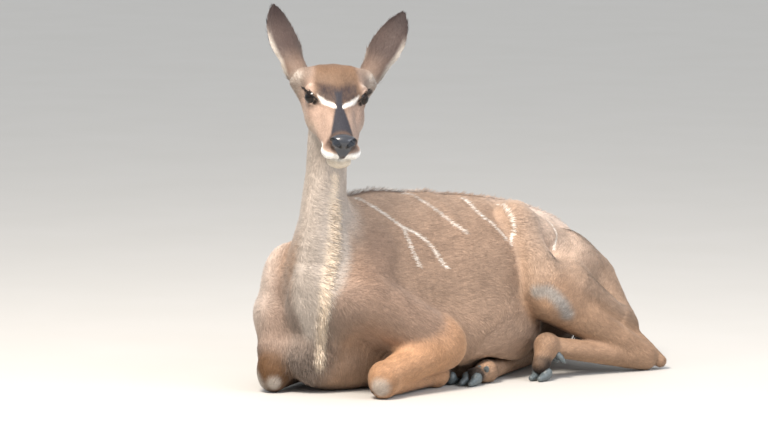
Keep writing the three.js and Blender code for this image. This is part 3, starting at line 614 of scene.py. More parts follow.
def on_eye(eye, a, b, clear):
    deep = math.sqrt(max(EYE_R**2 - a * a - b * b, 0))
    way = unit(eye["look"] * deep + eye["corner"] * a + eye["rise"] * b)
    return eye["middle"] + way * (EYE_R + clear)


def lid_line(eye, up, clear=0.3, grow=0.0, steps=14):
    turn = np.linspace(0, math.pi, steps + 1)
    return [on_eye(eye, -(1.2 * EYE_LONG + grow) * math.cos(t),
                   up * (EYE_HIGH + 2.2 + grow) * math.sin(t) ** 0.8, clear) for t in turn]


def drawn(side, points):
    return settle(flesh, np.array([in_head(f, side * l, n) for f, l, n in points]), 8, 20)


MOUTH = [[84, 39, -61], [100, 40, -65], [116, 38, -69], [132, 31, -71], [143, 17, -72], [147, 0, -71]]
NOSTRIL = [[168, 8, -24], [167, 12, -19], [163, 18, -14], [157, 24, -11], [149, 29, -10]]
mouth_line = np.concatenate([drawn(1, MOUTH), drawn(-1, MOUTH[:-1])[::-1]])
nostril_lines = [drawn(side, NOSTRIL) for side in SIDES]

# %% The face's field
sockets = [
    ball(e["middle"] + 0.8 * EYE_R * e["look"], [EYE_LONG, EYE_HIGH, 1.5 * EYE_R],
         np.array([e["corner"], e["rise"], np.cross(e["corner"], e["rise"])]))
    for e in EYES
]
lids = [cord(lid_line(e, up), np.full(15, 2.4)) for e in EYES for up in (1, -1)]
mouth_cut = cord(mouth_line, np.full(len(mouth_line), 1.1))
nostril_cuts = [cord(line - 2.5 * HEAD_FORE, [2.2, 5.0, 5.8, 4.4, 1.6]) for line in nostril_lines]


TRUNK_COAT, LEG_COAT, FACE_COAT, NOSE_COAT, LID_COAT = 6, 2.6, 2.6, 0.4, 0.5


def coat_depth(p):
    """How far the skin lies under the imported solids."""
    f = (p - HEAD_AT) @ HEAD_FORE
    head = smooth(30, -20, head_form(p))
    body = TRUNK_COAT - (TRUNK_COAT - LEG_COAT) * smooth(190, 60, p[:, 2]) * smooth(60, 10, lower_legs(p))
    face = FACE_COAT - (FACE_COAT - NOSE_COAT) * smooth(118, 138, f)
    for eye in EYES:
        face = face - (face - LID_COAT) * smooth(34, 22, np.linalg.norm(p - eye["middle"], axis=1))
    return body + (face - body) * head


def lower_legs(p):
    d = np.full(len(p), 1e3)
    for leg in LEGS:
        d = np.minimum(d, np.minimum(leg["shank"](p), leg["foot"](p)))
    return d


def skin_field(p, face=True):
    d = flesh(p) + coat_depth(p)
    if face:
        near = np.linalg.norm(p - in_head(60, 0, -30), axis=1) < 190
        if near.any():
            q, v = p[near], d[near]
            for socket in sockets:
                v = carve(v, socket(q), 3)
            for lid in lids:
                v = soften(v, lid(q), 3)
            v = carve(v, mouth_cut(q), 2)
            for nostril in nostril_cuts:
                v = carve(v, nostril(q), 2.5)
            d[near] = v
    return carve(d, p[:, 2] - 0.8, 5)


print("mouth is", round(np.linalg.norm(np.diff(mouth_line, axis=0), axis=1).sum()), "mm along")

# %% The skin's mesh, finer on the head
CELL = 4.4
SKIN_LOW, SKIN_HIGH = [-240, -210, -12], [330, 910, 790]
points, faces = net(lambda p: skin_field(p, False), SKIN_LOW, SKIN_HIGH, CELL)
points = settle(lambda p: skin_field(p, False), points, 2)
skin = mesh_object("skin", points, faces)
print(len(points), "points on the body")


def divide_near(piece, centre, reach):
    """Divides the faces whose middle is within reach of any of the centres."""
    mesh = piece.data
    middles = np.empty(len(mesh.polygons) * 3, np.float32)
    mesh.polygons.foreach_get("center", middles)
    middles = middles.reshape(-1, 3) / MM
    hit = np.zeros(len(middles), bool)
    for c, r in zip(centre, reach):
        hit |= np.linalg.norm(middles - c, axis=1) < r
    work = bmesh.new()
    work.from_mesh(mesh)
    work.faces.ensure_lookup_table()
    edges = {e for i in np.flatnonzero(hit) for e in work.faces[i].edges}
    bmesh.ops.subdivide_edges(work, edges=list(edges), cuts=1, use_grid_fill=True)
    work.to_mesh(mesh)
    work.free()


divide_near(skin, [in_head(40, 0, -30), in_head(-60, 0, 0)], [150, 110])
nose_middle, lips = in_head(146, 0, -30), in_head(124, 0, -74)
divide_near(skin, [e["middle"] + 16 * e["look"] for e in EYES] + [nose_middle, lips], [30, 30, 44, 50])
points = points_of(skin)
on_face = np.linalg.norm(points - in_head(60, 0, -30), axis=1) < 185
points[on_face] = settle(skin_field, points[on_face], 5, 2.5)
skin.data.vertices.foreach_set("co", (points * MM).astype(np.float32).ravel())
skin.data.update()
print(len(points), "points with the face")

# %% [markdown]
# ## The lie of the hair
#
# Hair points away from the nose: back over the skull, down the neck, back and down over the ribs,
# and down each leg. Each part of the body has a heading, and near a join the headings are mixed
# by how near each part is, so the coat turns smoothly from one to the next, as on the real animal.

# %% A heading for every point of the skin
HEADINGS = [
    ([10, -40, 330], [-8, 470, 290], 170, [0, 1, -0.22]),
    ([-8, 470, 290], [-8, 800, 230], 130, [0, 1, -0.5]),
    ([54, -34, 640], [24, -10, 330], 55, [-0.1, 0.12, -1]),
    ([44, -50, 300], [50, -60, 120], 70, [0.08, 0.1, -1]),
    (in_head(-60, 0, 0), in_head(130, 0, -40), 45, -HEAD_FORE),
    ([-6, 745, 262], [-20, 838, 215], 18, [0, 1, -0.6]),
    ([-20, 838, 215], [-54, 872, 52], 16, [-0.1, 0.1, -1]),
]
LEG_RADII = [(90, 44, 26, 24), (80, 44, 24, 20), (64, 44, 24, 20), (60, 44, 24, 20)]
for leg, radii in zip(LEGS, LEG_RADII):
    for a, b, r in zip(leg["joints"], leg["joints"][1:], radii):
        HEADINGS.append((a, b, r, unit(np.array(b, float) - a)))
BLEND = 16  # mm over which one heading turns into the next
print(len(HEADINGS), "headings")


def heading(p, normal):
    """The way the hair points, mixed from the headings of the parts near by."""
    apart = [along(p, np.array(a, float), np.array(b, float))[1] - r for a, b, r, _ in HEADINGS]
    apart = np.array(apart)
    share = np.exp(-(apart - apart.min(0)) / BLEND)
    way = share.T @ unit(np.array([h[3] for h in HEADINGS], float))
    way -= (way * normal).sum(1)[:, None] * normal
    return unit(way)


# %% [markdown]
# ## Markings
#
# A kudu's coat is fawn with thin white stripes from the spine down the flanks. The head is
# browner, with a white bar before each eye, a dark band down the nose, white lips and chin.
# The neck is pale grey with a cream ridge of hair down the throat. Painted sunlight lightens her
# back, rump and right shoulder. Painted shade darkens chest, belly, the underside of the thigh,
# the nostrils and the mouth's crease, and greys the white patch inside the thigh. All of it is one
# function of place, so skin and hair always carry the same colour. An image would have seams and a
# fixed size.

# %% Soft patches and lines of colour


def wave(p, size, seed):
    """Smooth mottling between -1 and 1, with lumps about size millimetres across."""
    rng = np.random.default_rng(seed)
    total = np.zeros(len(p))
    for _ in range(5):
        way = unit(rng.normal(size=3)) * 2 * math.pi / (size * rng.uniform(0.7, 1.6))
        total += np.sin(p @ way + rng.uniform(0, 6.3) + 1.3 * np.sin(p @ np.roll(way, 1) * 0.7))
    return total / 3


def near_line(p, line, half, edge, radii=None):
    d = cord(line, [half] * len(line) if radii is None else radii)(p)
    return smooth(edge, -edge, d)


def lay(colour, code, share):
    return colour + (rgb(code) - colour) * np.clip(share, 0, 1)[:, None]


SPINE_X = -8


def laid(line, mirror=False):
    """A line drawn finely and laid on the skin, or on the same place of her right flank."""
    line = np.array(line, float)
    if mirror:
        line[:, 0] = 2 * SPINE_X - line[:, 0]
    fine = catmull(line, 6 * (len(line) - 1))[0]
    return settle(lambda p: skin_field(p, False), fine, 6, 30)


# %% Lines read off the photograph, on her left side
STRIPES = [
    [[30, 56, 442], [52, 82, 426], [82, 132, 385], [90, 149, 371], [119, 156, 316], [135, 166, 280]],
    [[90, 149, 371], [99, 184, 353], [114, 211, 329], [134, 227, 293], [144, 239, 272]],
    [[6, 228, 436], [10, 249, 433], [34, 261, 420], [58, 277, 402], [80, 293, 382], [101, 309, 362],
     [116, 332, 343]],
    [[22, 404, 413], [77, 402, 383], [110, 428, 351], [130, 444, 321]],
    [[45, 495, 394], [90, 470, 390], [113, 464, 376], [125, 465, 358], [138, 453, 307]],
    [[20, 600, 366], [70, 585, 356], [105, 592, 335], [128, 608, 318], [149, 592, 292]],
]
THROAT = [[102, -62, 499], [102, -67, 468], [101, -73, 441], [100, -75, 410], [102, -77, 379],
          [103, -87, 328], [104, -100, 277], [101, -107, 226], [86, -99, 171], [69, -84, 116], [66, -81, 86]]
SPINE = [[10, 40, 440], [4, 130, 450], [-8, 225, 440], [-10, 335, 432], [-5, 435, 420], [0, 525, 402],
         [-2, 620, 378], [-4, 710, 338], [-8, 785, 284]]
BIB = [[96, -64, 500], [92, -76, 420], [90, -88, 340], [84, -102, 277], [68, -110, 210], [52, -98, 150]]
BIB_HALF = [56, 58, 60, 58, 46, 20]
INNER_THIGH = [[204, 468, 205], [229, 483, 206], [246, 505, 182], [239, 532, 154]]
stripes = [laid(line, mirror) for line in STRIPES for mirror in (False, True)]
throat_line, spine_line, inner_thigh_line = laid(THROAT), laid(SPINE), laid(INNER_THIGH)
print(len(stripes), "stripes")

# %% The colour of trunk and legs
LEG_CODES = [("#b59a84", "#a5866d"), ("#b59a84", "#a5866d"), ("#9a7f6e", "#b98f6d"), ("#ac9180", "#66492f")]
PALE_SPOTS = [([212, -28, 30], 34), ([-70, -136, 26], 38), ([-20, -140, 22], 30)]
LOIN_END = 13


def body_tint(p, normal):
    x, y, z = p.T
    c = np.tile(rgb("#a08672"), (len(p), 1))
    # painted sunlight: the top of the back is lighter, where the sun falls on it
    c = lay(c, "#bb9f89", smooth(330, 430, z) * 0.9)
    # painted shade: low surfaces that face the floor, under belly and chest, are darker
    c = lay(c, "#a0836d", smooth(230, 90, z) * smooth(0.2, -0.6, normal[:, 2]))
    # painted sunlight on the top of the rump and thigh
    c = lay(c, "#dbc6b6", smooth(440, 600, y) * smooth(220, 320, z))
    # painted shade under the rump and thigh, low at the back
    c = lay(c, "#6b5646", smooth(500, 600, y) * smooth(220, 120, z))
    # painted shade on the lower front of the chest, under the neck
    c = lay(c, "#857a72", smooth(-20, -90, y) * smooth(330, 200, z) * 0.8)
    # painted sunlight on her right shoulder
    c = lay(c, "#e9e2da", smooth(-40, -120, x) * smooth(100, 200, z) * smooth(200, 60, y))
    for leg, (upper_code, lower_code) in zip(LEGS, LEG_CODES):
        reach = smooth(24, -6, np.minimum(leg["shank"](p), leg["foot"](p)))
        c = lay(c, upper_code, smooth(30, -10, leg["upper"](p)) * 0.5)
        c = lay(c, lower_code, reach)
        fetlock, hoof = np.array(leg["joints"][3], float), np.array(leg["joints"][4], float)
        share, apart = along(p, fetlock, hoof)
        c = lay(c, "#3a312b", smooth(0.25, 0.6, share) * smooth(36, 20, apart))
    for spot, reach in PALE_SPOTS:
        c = lay(c, "#cdc3b8", smooth(reach, 0.4 * reach, np.linalg.norm(p - spot, axis=1)) * 0.8)
    # the white patch inside the thigh, painted grey as painted shade under the thigh
    c = lay(c, "#9f9891", near_line(p, inner_thigh_line, 15, 11))
    for stripe in stripes:
        c = lay(c, "#f6efe4", near_line(p, stripe, 2.7, 2.6) * (0.85 + 0.15 * wave(p, 30, 4)))
    c = lay(c, "#4c3a30", near_line(p, spine_line[:LOIN_END], 13, 8) * 0.8)
    c = lay(c, "#e8e1d8", near_line(p, spine_line, 4, 4) * smooth(430, 200, y))
    streaks = 0.05 * wave(p, 40, 1) + 0.07 * wave(p * [1, 0.3, 1], 12, 6)
    return c * (1 + streaks)[:, None]


# %% The colour of neck and head


def head_coords(p):
    """Forward, sideways and up from between the eyes, the same on both sides of the face."""
    q = p - HEAD_AT
    return q @ HEAD_FORE, np.abs(q @ HEAD_LEFT), q @ HEAD_UP


def neck_tint(p, c):
    bib = near_line(p, BIB, 0, 16, BIB_HALF)
    on_neck = np.maximum(smooth(40, -12, neck_form(p)) * smooth(300, 400, p[:, 2]), bib)
    fore = (p - np.array([45, -40, 0])) @ np.array([0.73, -0.68, 0])
    c = lay(c, "#b7aca2", on_neck)
    c = lay(c, "#a08872", on_neck * smooth(-6, -54, fore))
    return lay(c, "#ead9c4", near_line(p, throat_line, 9, 9))


def head_tint(p, c):
    f, l, n = head_coords(p)
    on_head = smooth(14, -4, head_form(p)) * smooth(-150, -110, f) * smooth(-112, -86, n + 0.2 * f)
    h = np.tile(rgb("#ab9384"), (len(p), 1))
    dome = smooth(62, 48, l + 0.35 * np.abs(n - 20)) * smooth(-6, 16, n)
    h = lay(h, "#8b7a6e", smooth(40, 60, l) * smooth(-20, -45, f) * smooth(-60, -20, n))
    h = lay(h, "#78614f", dome)
    h = lay(h, "#7a5f4a", dome * smooth(-10, -60, f) * 0.6)
    h = lay(h, "#c0ad9c", smooth(-24, -56, n) * smooth(100, 40, f) * 0.8)
    brow = np.exp(-(((f - 26 + 0.5 * l) / 25) ** 4)) * smooth(54, 36, l) * smooth(-4, 8, n)
    h = lay(h, "#3c3232", brow * (0.85 + 0.15 * wave(p, 8, 8)))
    width = np.interp(f, [14, 36, 60, 100, 134], [9, 6, 10, 19, 27])
    h = lay(h, "#33333a", smooth(4, -3, l - width) * smooth(8, 22, f) * smooth(-46, -26, n))
    bar_half = np.interp(l, [6, 12, 22, 40, 48], [3.5, 6.4, 4.8, 1.8, 0.3])
    bar_middle = 50 - 0.85 * (l - 10)
    white_bar = smooth(2.5, -2.5, np.abs(f - bar_middle) - bar_half)
    h = lay(h, "#f1ece4", white_bar * smooth(5, 8, l) * smooth(50, 44, l))
    over_eye = np.exp(-(((f + 14) / 6) ** 2) - ((l - 60) / 4) ** 2)
    h = lay(h, "#bdb2a6", over_eye * smooth(4, 16, n))
    white_tuft = np.exp(-(((f + 52 + 0.5 * (l - 80)) / 11) ** 2))
    white_tuft = white_tuft * smooth(64, 82, l) * smooth(-40, -20, n)
    h = lay(h, "#bdb4aa", white_tuft * (0.6 + 0.4 * wave(p, 7, 5)))
    h = lay(h, "#54443c", smooth(118, 132, f) * smooth(-46, -34, n) * smooth(46, 34, l))
    h = lay(h, "#faf8f3", smooth(100, 118, f) * smooth(-42, -49, n) * smooth(-82, -76, n))
    h = lay(h, "#ddd1bf", smooth(-70, -80, n) * smooth(10, 60, f))
    rims = [lid_line(e, up) for e in EYES for up in (1, -1)]
    lid_rim = np.max([near_line(p, rim, 2.4, 2.2) for rim in rims], axis=0)
    h = lay(h, "#1d1613", np.maximum(lid_rim, smooth(8, 4, corner_distance(p))))
    h = lay(h, "#252e39", nose_pad(p))
    # painted shade: near black inside the nostrils, for the dark of the openings
    h = lay(h, "#0b0909", np.max([near_line(p, line, 5.0, 1.5) for line in nostril_lines], axis=0))
    # painted shade along the mouth's crease between the lips
    h = lay(h, "#1c1716", near_line(p, mouth_line, 1.8, 1.4) * 0.95)
    return c + (h - c) * on_head[:, None]


def corner_distance(p):
    """Distance to the dark bare skin ahead of an eye's inner corner."""
    starts = [on_eye(e, 15, -1, 1) for e in EYES]
    return np.min([along(p, a, a + 8 * e["corner"])[1] for a, e in zip(starts, EYES)], axis=0)


def nose_pad(p):
    f, l, n = head_coords(p)
    half = np.interp(n, [-74, -52, -40, -26, -8, 2], [4, 7, 14, 25, 27, 18])
    return smooth(1.5, -1.5, l - half) * smooth(136, 141, f) * smooth(4, 0, n) * smooth(-73, -70, n)


# %% Paint on the skin


def tint(p, normal):
    """The colour of skin and hair at any point, with a little mottling."""
    c = head_tint(p, neck_tint(p, body_tint(p, normal)))
    return c * (1 + 0.05 * wave(p, 60, 1) + 0.04 * wave(p, 17, 2))[:, None]


def normals_of(piece):
    out = np.empty(len(piece.data.vertices) * 3, np.float32)
    piece.data.vertex_normals.foreach_get("vector", out)
    return out.reshape(-1, 3).astype(float)


points = points_of(skin)
skin_normals = normals_of(skin)
paint(skin, tint(points, skin_normals) * 0.9)
print("skin is painted at", len(points), "points")

# %% [markdown]
# ## Materials of skin and hair
#
# Hair is keratin, IOR about 1.55, with a soft gloss along each lock. The skin below it is only
# seen where the coat is thin, so it's matt. The nose pad is bare, finely pebbled and damp, which
# gives it small sharp lights. Each takes its colour from the painted markings.

# %% Node helper and the coat's materials


def node(tree, kind, settings=None, links=None):
    """Adds a node, sets its inputs or properties by name, and links its inputs to other outputs."""
    made = tree.nodes.new(kind)
    for key, value in (settings or {}).items():
        if key in made.inputs:
            made.inputs[key].default_value = value
        else:
            setattr(made, key, value)
    for key, output in (links or {}).items():
        tree.links.new(output, made.inputs[key])
    return made


def new_material(name, **shader_settings):
    material = bpy.data.materials.new(name)
    material.use_nodes = True
    tree = material.node_tree
    shader = tree.nodes["Principled BSDF"]
    for key, value in shader_settings.items():
        shader.inputs[key.replace("_", " ")].default_value = value
    return material, tree, shader


def hair_material(name, grain_mm, rough, bump_mm):
    """Keratin hair: painted colour broken up by fine streaks, with a dull sheen."""
    material, tree, shader = new_material(name, Roughness=rough, IOR=1.55)
    shader.inputs["Specular IOR Level"].default_value = 0.2
    shader.inputs["Sheen Weight"].default_value = 0.06
    shader.inputs["Sheen Roughness"].default_value = 0.5
    painted = node(tree, "ShaderNodeAttribute", {"attribute_name": "tint"})
    place = node(tree, "ShaderNodeTexCoord")
    grain = node(
        tree, "ShaderNodeTexNoise", {"Scale": 1 / (grain_mm * MM), "Detail": 3.0, "Roughness": 0.6},
        {"Vector": place.outputs["Object"]},
    )
    streaks = node(
        tree, "ShaderNodeMapRange", {"From Min": 0.3, "From Max": 0.7, "To Min": 0.88, "To Max": 1.12},
        {"Value": grain.outputs["Fac"]},
    )
    shade = node(
        tree, "ShaderNodeVectorMath", {"operation": "SCALE"},
        {0: painted.outputs["Color"], "Scale": streaks.outputs["Result"]},
    )
    bump = node(
        tree, "ShaderNodeBump", {"Strength": 0.35, "Distance": bump_mm * MM},
        {"Height": grain.outputs["Fac"]},
    )
    tree.links.new(shade.outputs["Vector"], shader.inputs["Base Color"])
    tree.links.new(bump.outputs["Normal"], shader.inputs["Normal"])
    return material


# Hide under hair: matt, so it recedes between the locks. Its grain is the 2.5 mm of a hair's parting.
SKIN_COAT = hair_material("short_kudu_hair_on_hide", 2.5, 0.62, 0.4)
skin.data.materials.append(SKIN_COAT)
print(SKIN_COAT.name, "has", len(SKIN_COAT.node_tree.nodes), "nodes")

# %% Bare wet skin of the nose
PEBBLE_MM = 1.8  # the real nose has a pebble about every 1.8 mm
NOSE_SKIN, nose_tree, nose_shader = new_material("wet_pebbled_nose_skin", Roughness=0.3, IOR=1.4)
nose_shader.inputs["Coat Weight"].default_value = 0.7
nose_shader.inputs["Coat Roughness"].default_value = 0.12
nose_painted = node(nose_tree, "ShaderNodeAttribute", {"attribute_name": "tint"})
nose_place = node(nose_tree, "ShaderNodeTexCoord")
pebbles = node(
    nose_tree, "ShaderNodeTexVoronoi", {"Scale": 1 / (PEBBLE_MM * MM)},
    {"Vector": nose_place.outputs["Object"]},
)
nose_shade = node(
    nose_tree, "ShaderNodeMapRange", {"To Min": 1.1, "To Max": 0.8},
    {"Value": pebbles.outputs["Distance"]},
)
nose_colour = node(
    nose_tree, "ShaderNodeVectorMath", {"operation": "SCALE"},
    {0: nose_painted.outputs["Color"], "Scale": nose_shade.outputs["Result"]},
)
nose_bump = node(
    nose_tree, "ShaderNodeBump", {"Strength": 0.5, "Distance": 0.35 * MM},
    {"Height": pebbles.outputs["Distance"]},
)
nose_tree.links.new(nose_colour.outputs["Vector"], nose_shader.inputs["Base Color"])
nose_tree.links.new(nose_bump.outputs["Normal"], nose_shader.inputs["Normal"])
skin.data.materials.append(NOSE_SKIN)
corners = np.empty(len(skin.data.loops), np.int32)
skin.data.loops.foreach_get("vertex_index", corners)
starts = np.empty(len(skin.data.polygons), np.int32)
skin.data.polygons.foreach_get("loop_start", starts)
wet = (nose_pad(points) > 0.5) & (np.min([cut(points) for cut in nostril_cuts], axis=0) > 1.0)
skin.data.polygons.foreach_set("material_index", wet[corners[starts]].astype(np.int32))
print("the nose pad has", wet.sum(), "points")

# %% [markdown]
# ## Locks of hair
#
# Each lock is a closed, pointed sliver of mesh, sunk into the skin at its root and lying back
# along the coat. Particle hair would be quicker to comb, but it has no solid form, so it can't be
# exported or printed. Locks are about 2 mm wide and 13 mm long on the trunk, shorter on legs and
# face. Sleek hair mirrors light as one surface, not lock by lock, so each lock is shaded with the
# slope of the coat under it, a little astray. Locks shaded by their own faces would look woolly.

# %% Roots spread evenly over the skin


def triangles_of(piece):
    piece.data.calc_loop_triangles()
    tri = np.empty(len(piece.data.loop_triangles) * 3, np.int32)
    piece.data.loop_triangles.foreach_get("vertices", tri)
    return tri.reshape(-1, 3)


def spread(points, normals, tri, density, rng):
    """Random roots on the triangles, density of them per square mm at each triangle."""
    a, b, c = points[tri[:, 0]], points[tri[:, 1]], points[tri[:, 2]]
    area = np.linalg.norm(np.cross(b - a, c - a), axis=1) / 2
    hope = area * density
    count = np.floor(hope + rng.random(len(tri))).astype(int)
    which = np.repeat(np.arange(len(tri)), count)
    u, v = rng.random(len(which)), rng.random(len(which))
    over = u + v > 1
    u[over], v[over] = 1 - u[over], 1 - v[over]
    weights = np.stack([1 - u - v, u, v], 1)
    at = (points[tri[which]] * weights[..., None]).sum(1)
    out = unit((normals[tri[which]] * weights[..., None]).sum(1))
    return at, out


UNWRAP_CORNER, UNWRAP_SPAN = np.array([-240, -220, -10]), 1150


def unwrap(at, out):
    """A six-sided unwrap of the skin: each side of the body has its own third of the square."""
    axis = np.abs(out).argmax(1)
    sign = out[np.arange(len(out)), axis] > 0
    q = (at - UNWRAP_CORNER) / UNWRAP_SPAN
    top_pair = np.where((axis == 1)[:, None], q[:, [0, 2]], q[:, [0, 1]])
    flat_pair = np.where((axis == 0)[:, None], q[:, [1, 2]], top_pair)
    cell = axis * 2 + sign
    corner = np.stack([(cell % 3) / 3, (cell // 3) / 2], 1)
    return corner + 0.01 + np.clip(flat_pair, 0, 1) * np.array([0.3, 0.47])


PATCH_SIZE = 0.003
PATCH = PATCH_SIZE * np.array([[0, 0], [1, 0], [0, 1], [1, 1]])
print("each lock has a patch", PATCH_SIZE, "across on the unwrap")


# %% Slivers: three points round the root and one at the tip
SUNK = 0.8
ROOM_OVER_FLOOR = 0.3


def comb_normals(piece, out, side, lie, rng):
    """Shades each tuft as a slightly rounded strip of the coat, which keeps short hair sleek."""
    tilt = out + rng.normal(0, 0.13, out.shape)
    around = unit(np.stack([tilt - 0.4 * side, tilt + 0.4 * side, tilt, tilt + 0.25 * lie], 1))
    piece.data.normals_split_custom_set_from_vertices(around.reshape(-1, 3).astype(np.float32))


def slivers(name, at, out, lie, length, width, lift, colours, rng, material):
    side = np.cross(out, lie)
    base = at - out * SUNK
    tip = at + (lie * np.cos(lift)[:, None] + out * np.sin(lift)[:, None]) * length[:, None]
    tip[:, 2] = np.maximum(tip[:, 2], 2 * ROOM_OVER_FLOOR)
    half = width[:, None] / 2
    left, right = base - side * half + out * SUNK, base + side * half + out * SUNK
    ring = [left, right, base + out * (SUNK + 0.5 * half), tip]
    ring[2] = ring[2] - lie * half
    ring[0] = ring[0] - out * 0.5
    ring[1] = ring[1] - out * 0.5
    verts = np.stack(ring, 1).reshape(-1, 3)
    first = np.arange(len(at))[:, None] * 4
    faces = np.concatenate([first + f for f in ([0, 2, 1], [0, 1, 3], [1, 2, 3], [2, 0, 3])])
    verts[:, 2] = np.maximum(verts[:, 2], ROOM_OVER_FLOOR)
    piece = mesh_object(name, verts, faces)
    tone = np.repeat(colours, 4, 0).reshape(-1, 4, 3)
    tone[:, :3] *= 0.93
    tone[:, 3] *= 1.05
    paint(piece, tone.reshape(-1, 3))
    layer = piece.data.uv_layers.new(name="OFBake")
    uv = (unwrap(at, out)[:, None] + PATCH).reshape(-1, 2)
    layer.data.foreach_set("uv", uv[faces.ravel()].astype(np.float32).ravel())
    piece.data.materials.append(material)
    comb_normals(piece, out, side, lie, rng)
    return piece


# Guard hair: a low sheen along each lock, and streaks 4 mm apart where locks lie side by side.
BODY_COAT = hair_material("fawn_guard_hair", 4.0, 0.55, 0.15)
print(BODY_COAT.name)

# %% Where each lock grows, and how long it is
HEAD_LOCKS, LEG_LOCKS, TRUNK_LOCKS = 0.42, 0.26, 0.16  # locks on each square mm
TRUNK_LENGTH, LEG_LENGTH, HEAD_LENGTH, MUZZLE_LENGTH = 13, 9, 6.0, 3.4
rng = np.random.default_rng(41)
skin_tris = triangles_of(skin)
middles = points[skin_tris].mean(1)
lie_head = head_form(middles) < 10
legs_near = lower_legs(middles) < 4
density = np.where(lie_head, HEAD_LOCKS, np.where(legs_near, LEG_LOCKS, TRUNK_LOCKS))
density = density * 1.0
density *= 1 - smooth(0.2, 0.5, nose_pad(middles))
in_socket = np.min([np.linalg.norm(middles - e["middle"], axis=1) for e in EYES], axis=0) < EYE_R + 1.2
density[in_socket] = 0
density[middles[:, 2] < 2.0] = 0
root, root_out = spread(points, skin_normals, skin_tris, density, rng)
root_lie = heading(root, root_out)
sway = rng.normal(0, 0.14, len(root))[:, None]
root_lie = unit(root_lie + sway * np.cross(root_out, root_lie))
on_head, on_leg = smooth(20, 0, head_form(root)), smooth(20, 0, lower_legs(root))
long_hair = TRUNK_LENGTH - (TRUNK_LENGTH - LEG_LENGTH) * on_leg
long_hair = long_hair + (HEAD_LENGTH - long_hair) * on_head
face_f = head_coords(root)[0]
long_hair = long_hair - on_head * (HEAD_LENGTH - MUZZLE_LENGTH) * smooth(60, 140, face_f)
long_hair *= rng.uniform(0.7, 1.25, len(root))
wide_hair = (2.0 - 0.3 * on_leg - 0.7 * on_head) * rng.uniform(0.75, 1.25, len(root))
lift = np.radians(rng.uniform(6, 11, len(root)))
hair_tint = tint(root, root_out) * rng.uniform(0.87, 1.13, len(root))[:, None]
print(len(root), "locks of short hair")

# %% The coat in pieces, one for each part of the body
ZONES = [
    "coat_shoulders", "coat_flank_left", "coat_flank_right", "coat_rump_left", "coat_rump_right",
    "coat_neck", "coat_hind_leg_left", "coat_hind_leg_right", "coat_fore_leg_left",
    "coat_fore_leg_right", "coat_head",
]
NECK_ZONE, FIRST_LEG_ZONE, HEAD_ZONE = 5, 6, 10
FLANK_START, RUMP_START = 150, 430
zone = np.full(len(root), 0)
zone[(root[:, 1] > FLANK_START) & (root[:, 0] > 40)] = 1
zone[(root[:, 1] > FLANK_START) & (root[:, 0] <= 40)] = 2
zone[(root[:, 1] > RUMP_START) & (root[:, 0] > 30)] = 3
zone[(root[:, 1] > RUMP_START) & (root[:, 0] <= 30)] = 4
zone[neck_form(root) < 6] = NECK_ZONE
gaps = np.array([np.minimum(leg["shank"](root), leg["foot"](root)) for leg in LEGS])
nearest = gaps.argmin(0)
zone = np.where(gaps.min(0) < 6, FIRST_LEG_ZONE + nearest, zone)
zone[head_form(root) < 8] = HEAD_ZONE
coats = []
for i, name in enumerate(ZONES):
    pick = zone == i
    coats.append(slivers(name, root[pick], root_out[pick], root_lie[pick], long_hair[pick], wide_hair[pick],
                         lift[pick], hair_tint[pick], rng, BODY_COAT))
    print(name, len(coats[-1].data.polygons), "triangles")

# %% [markdown]
# ## Long locks: throat ridge, brisket, crest and tail
#
# Longer hair hangs and bends, so a straight sliver won't do. Each long lock is a three-sided
# strand through four points, fullest a third of the way down and pointed at its end.

# %% Curved locks through several points


def locks(name, lines, wide, out, root_colour, tip_colour, material):
    """Closed strands: lines is locks x points x 3, wide the full width of each lock."""
    n, k, _ = lines.shape
    way = unit(np.gradient(lines, axis=1))
    side = unit(np.cross(out[:, None], way))
    high = np.cross(way, side)
    t = np.linspace(0, 1, k)
    plump = (0.45 + 1.5 * t) * (1 - t) ** 0.8 * 1.1
    verts = np.zeros((n, 3 * (k - 1) + 1, 3))
    for i in range(k - 1):
        r = (wide * plump[i] / 2)[:, None]
        verts[:, 3 * i] = lines[:, i] - side[:, i] * r
        verts[:, 3 * i + 1] = lines[:, i] + side[:, i] * r
        verts[:, 3 * i + 2] = lines[:, i] + high[:, i] * r * 0.7
    verts[:, -1] = lines[:, -1]
    tris = [[0, 2, 1]]
    for i in range(k - 2):
        for a, b in ((0, 1), (1, 2), (2, 0)):
            p, q = 3 * i + a, 3 * i + b
            tris += [[p, q, p + 3], [q, q + 3, p + 3]]
    last, tip = 3 * (k - 2), 3 * (k - 1)
    tris += [[last + a, last + b, tip] for a, b in ((0, 1), (1, 2), (2, 0))]
    per = 3 * (k - 1) + 1
    verts[..., 2] = np.maximum(verts[..., 2], ROOM_OVER_FLOOR)
    faces = (np.arange(n)[:, None, None] * per + np.array(tris)).reshape(-1, 3)
    piece = mesh_object(name, verts.reshape(-1, 3), faces)
    fade = np.append(np.repeat(t[:-1], 3), 1.0)[None, :, None]
    paint(piece, (root_colour[:, None] * (1 - fade) + tip_colour[:, None] * fade).reshape(-1, 3))
    layer = piece.data.uv_layers.new(name="OFBake")
    patch = np.stack([fade[0, :, 0] * PATCH_SIZE, np.arange(per) % 3 * PATCH_SIZE / 2], 1)
    spot = unwrap(lines[:, 0], out)[:, None] + patch
    layer.data.foreach_set("uv", spot.reshape(-1, 2)[faces.ravel()].astype(np.float32).ravel())
    piece.data.materials.append(material)
    return piece


def on_skin(p, steps=4):
    p = settle(lambda q: skin_field(q, False), p, steps, 30)
    return p, unit(slope(flesh, p)[1])


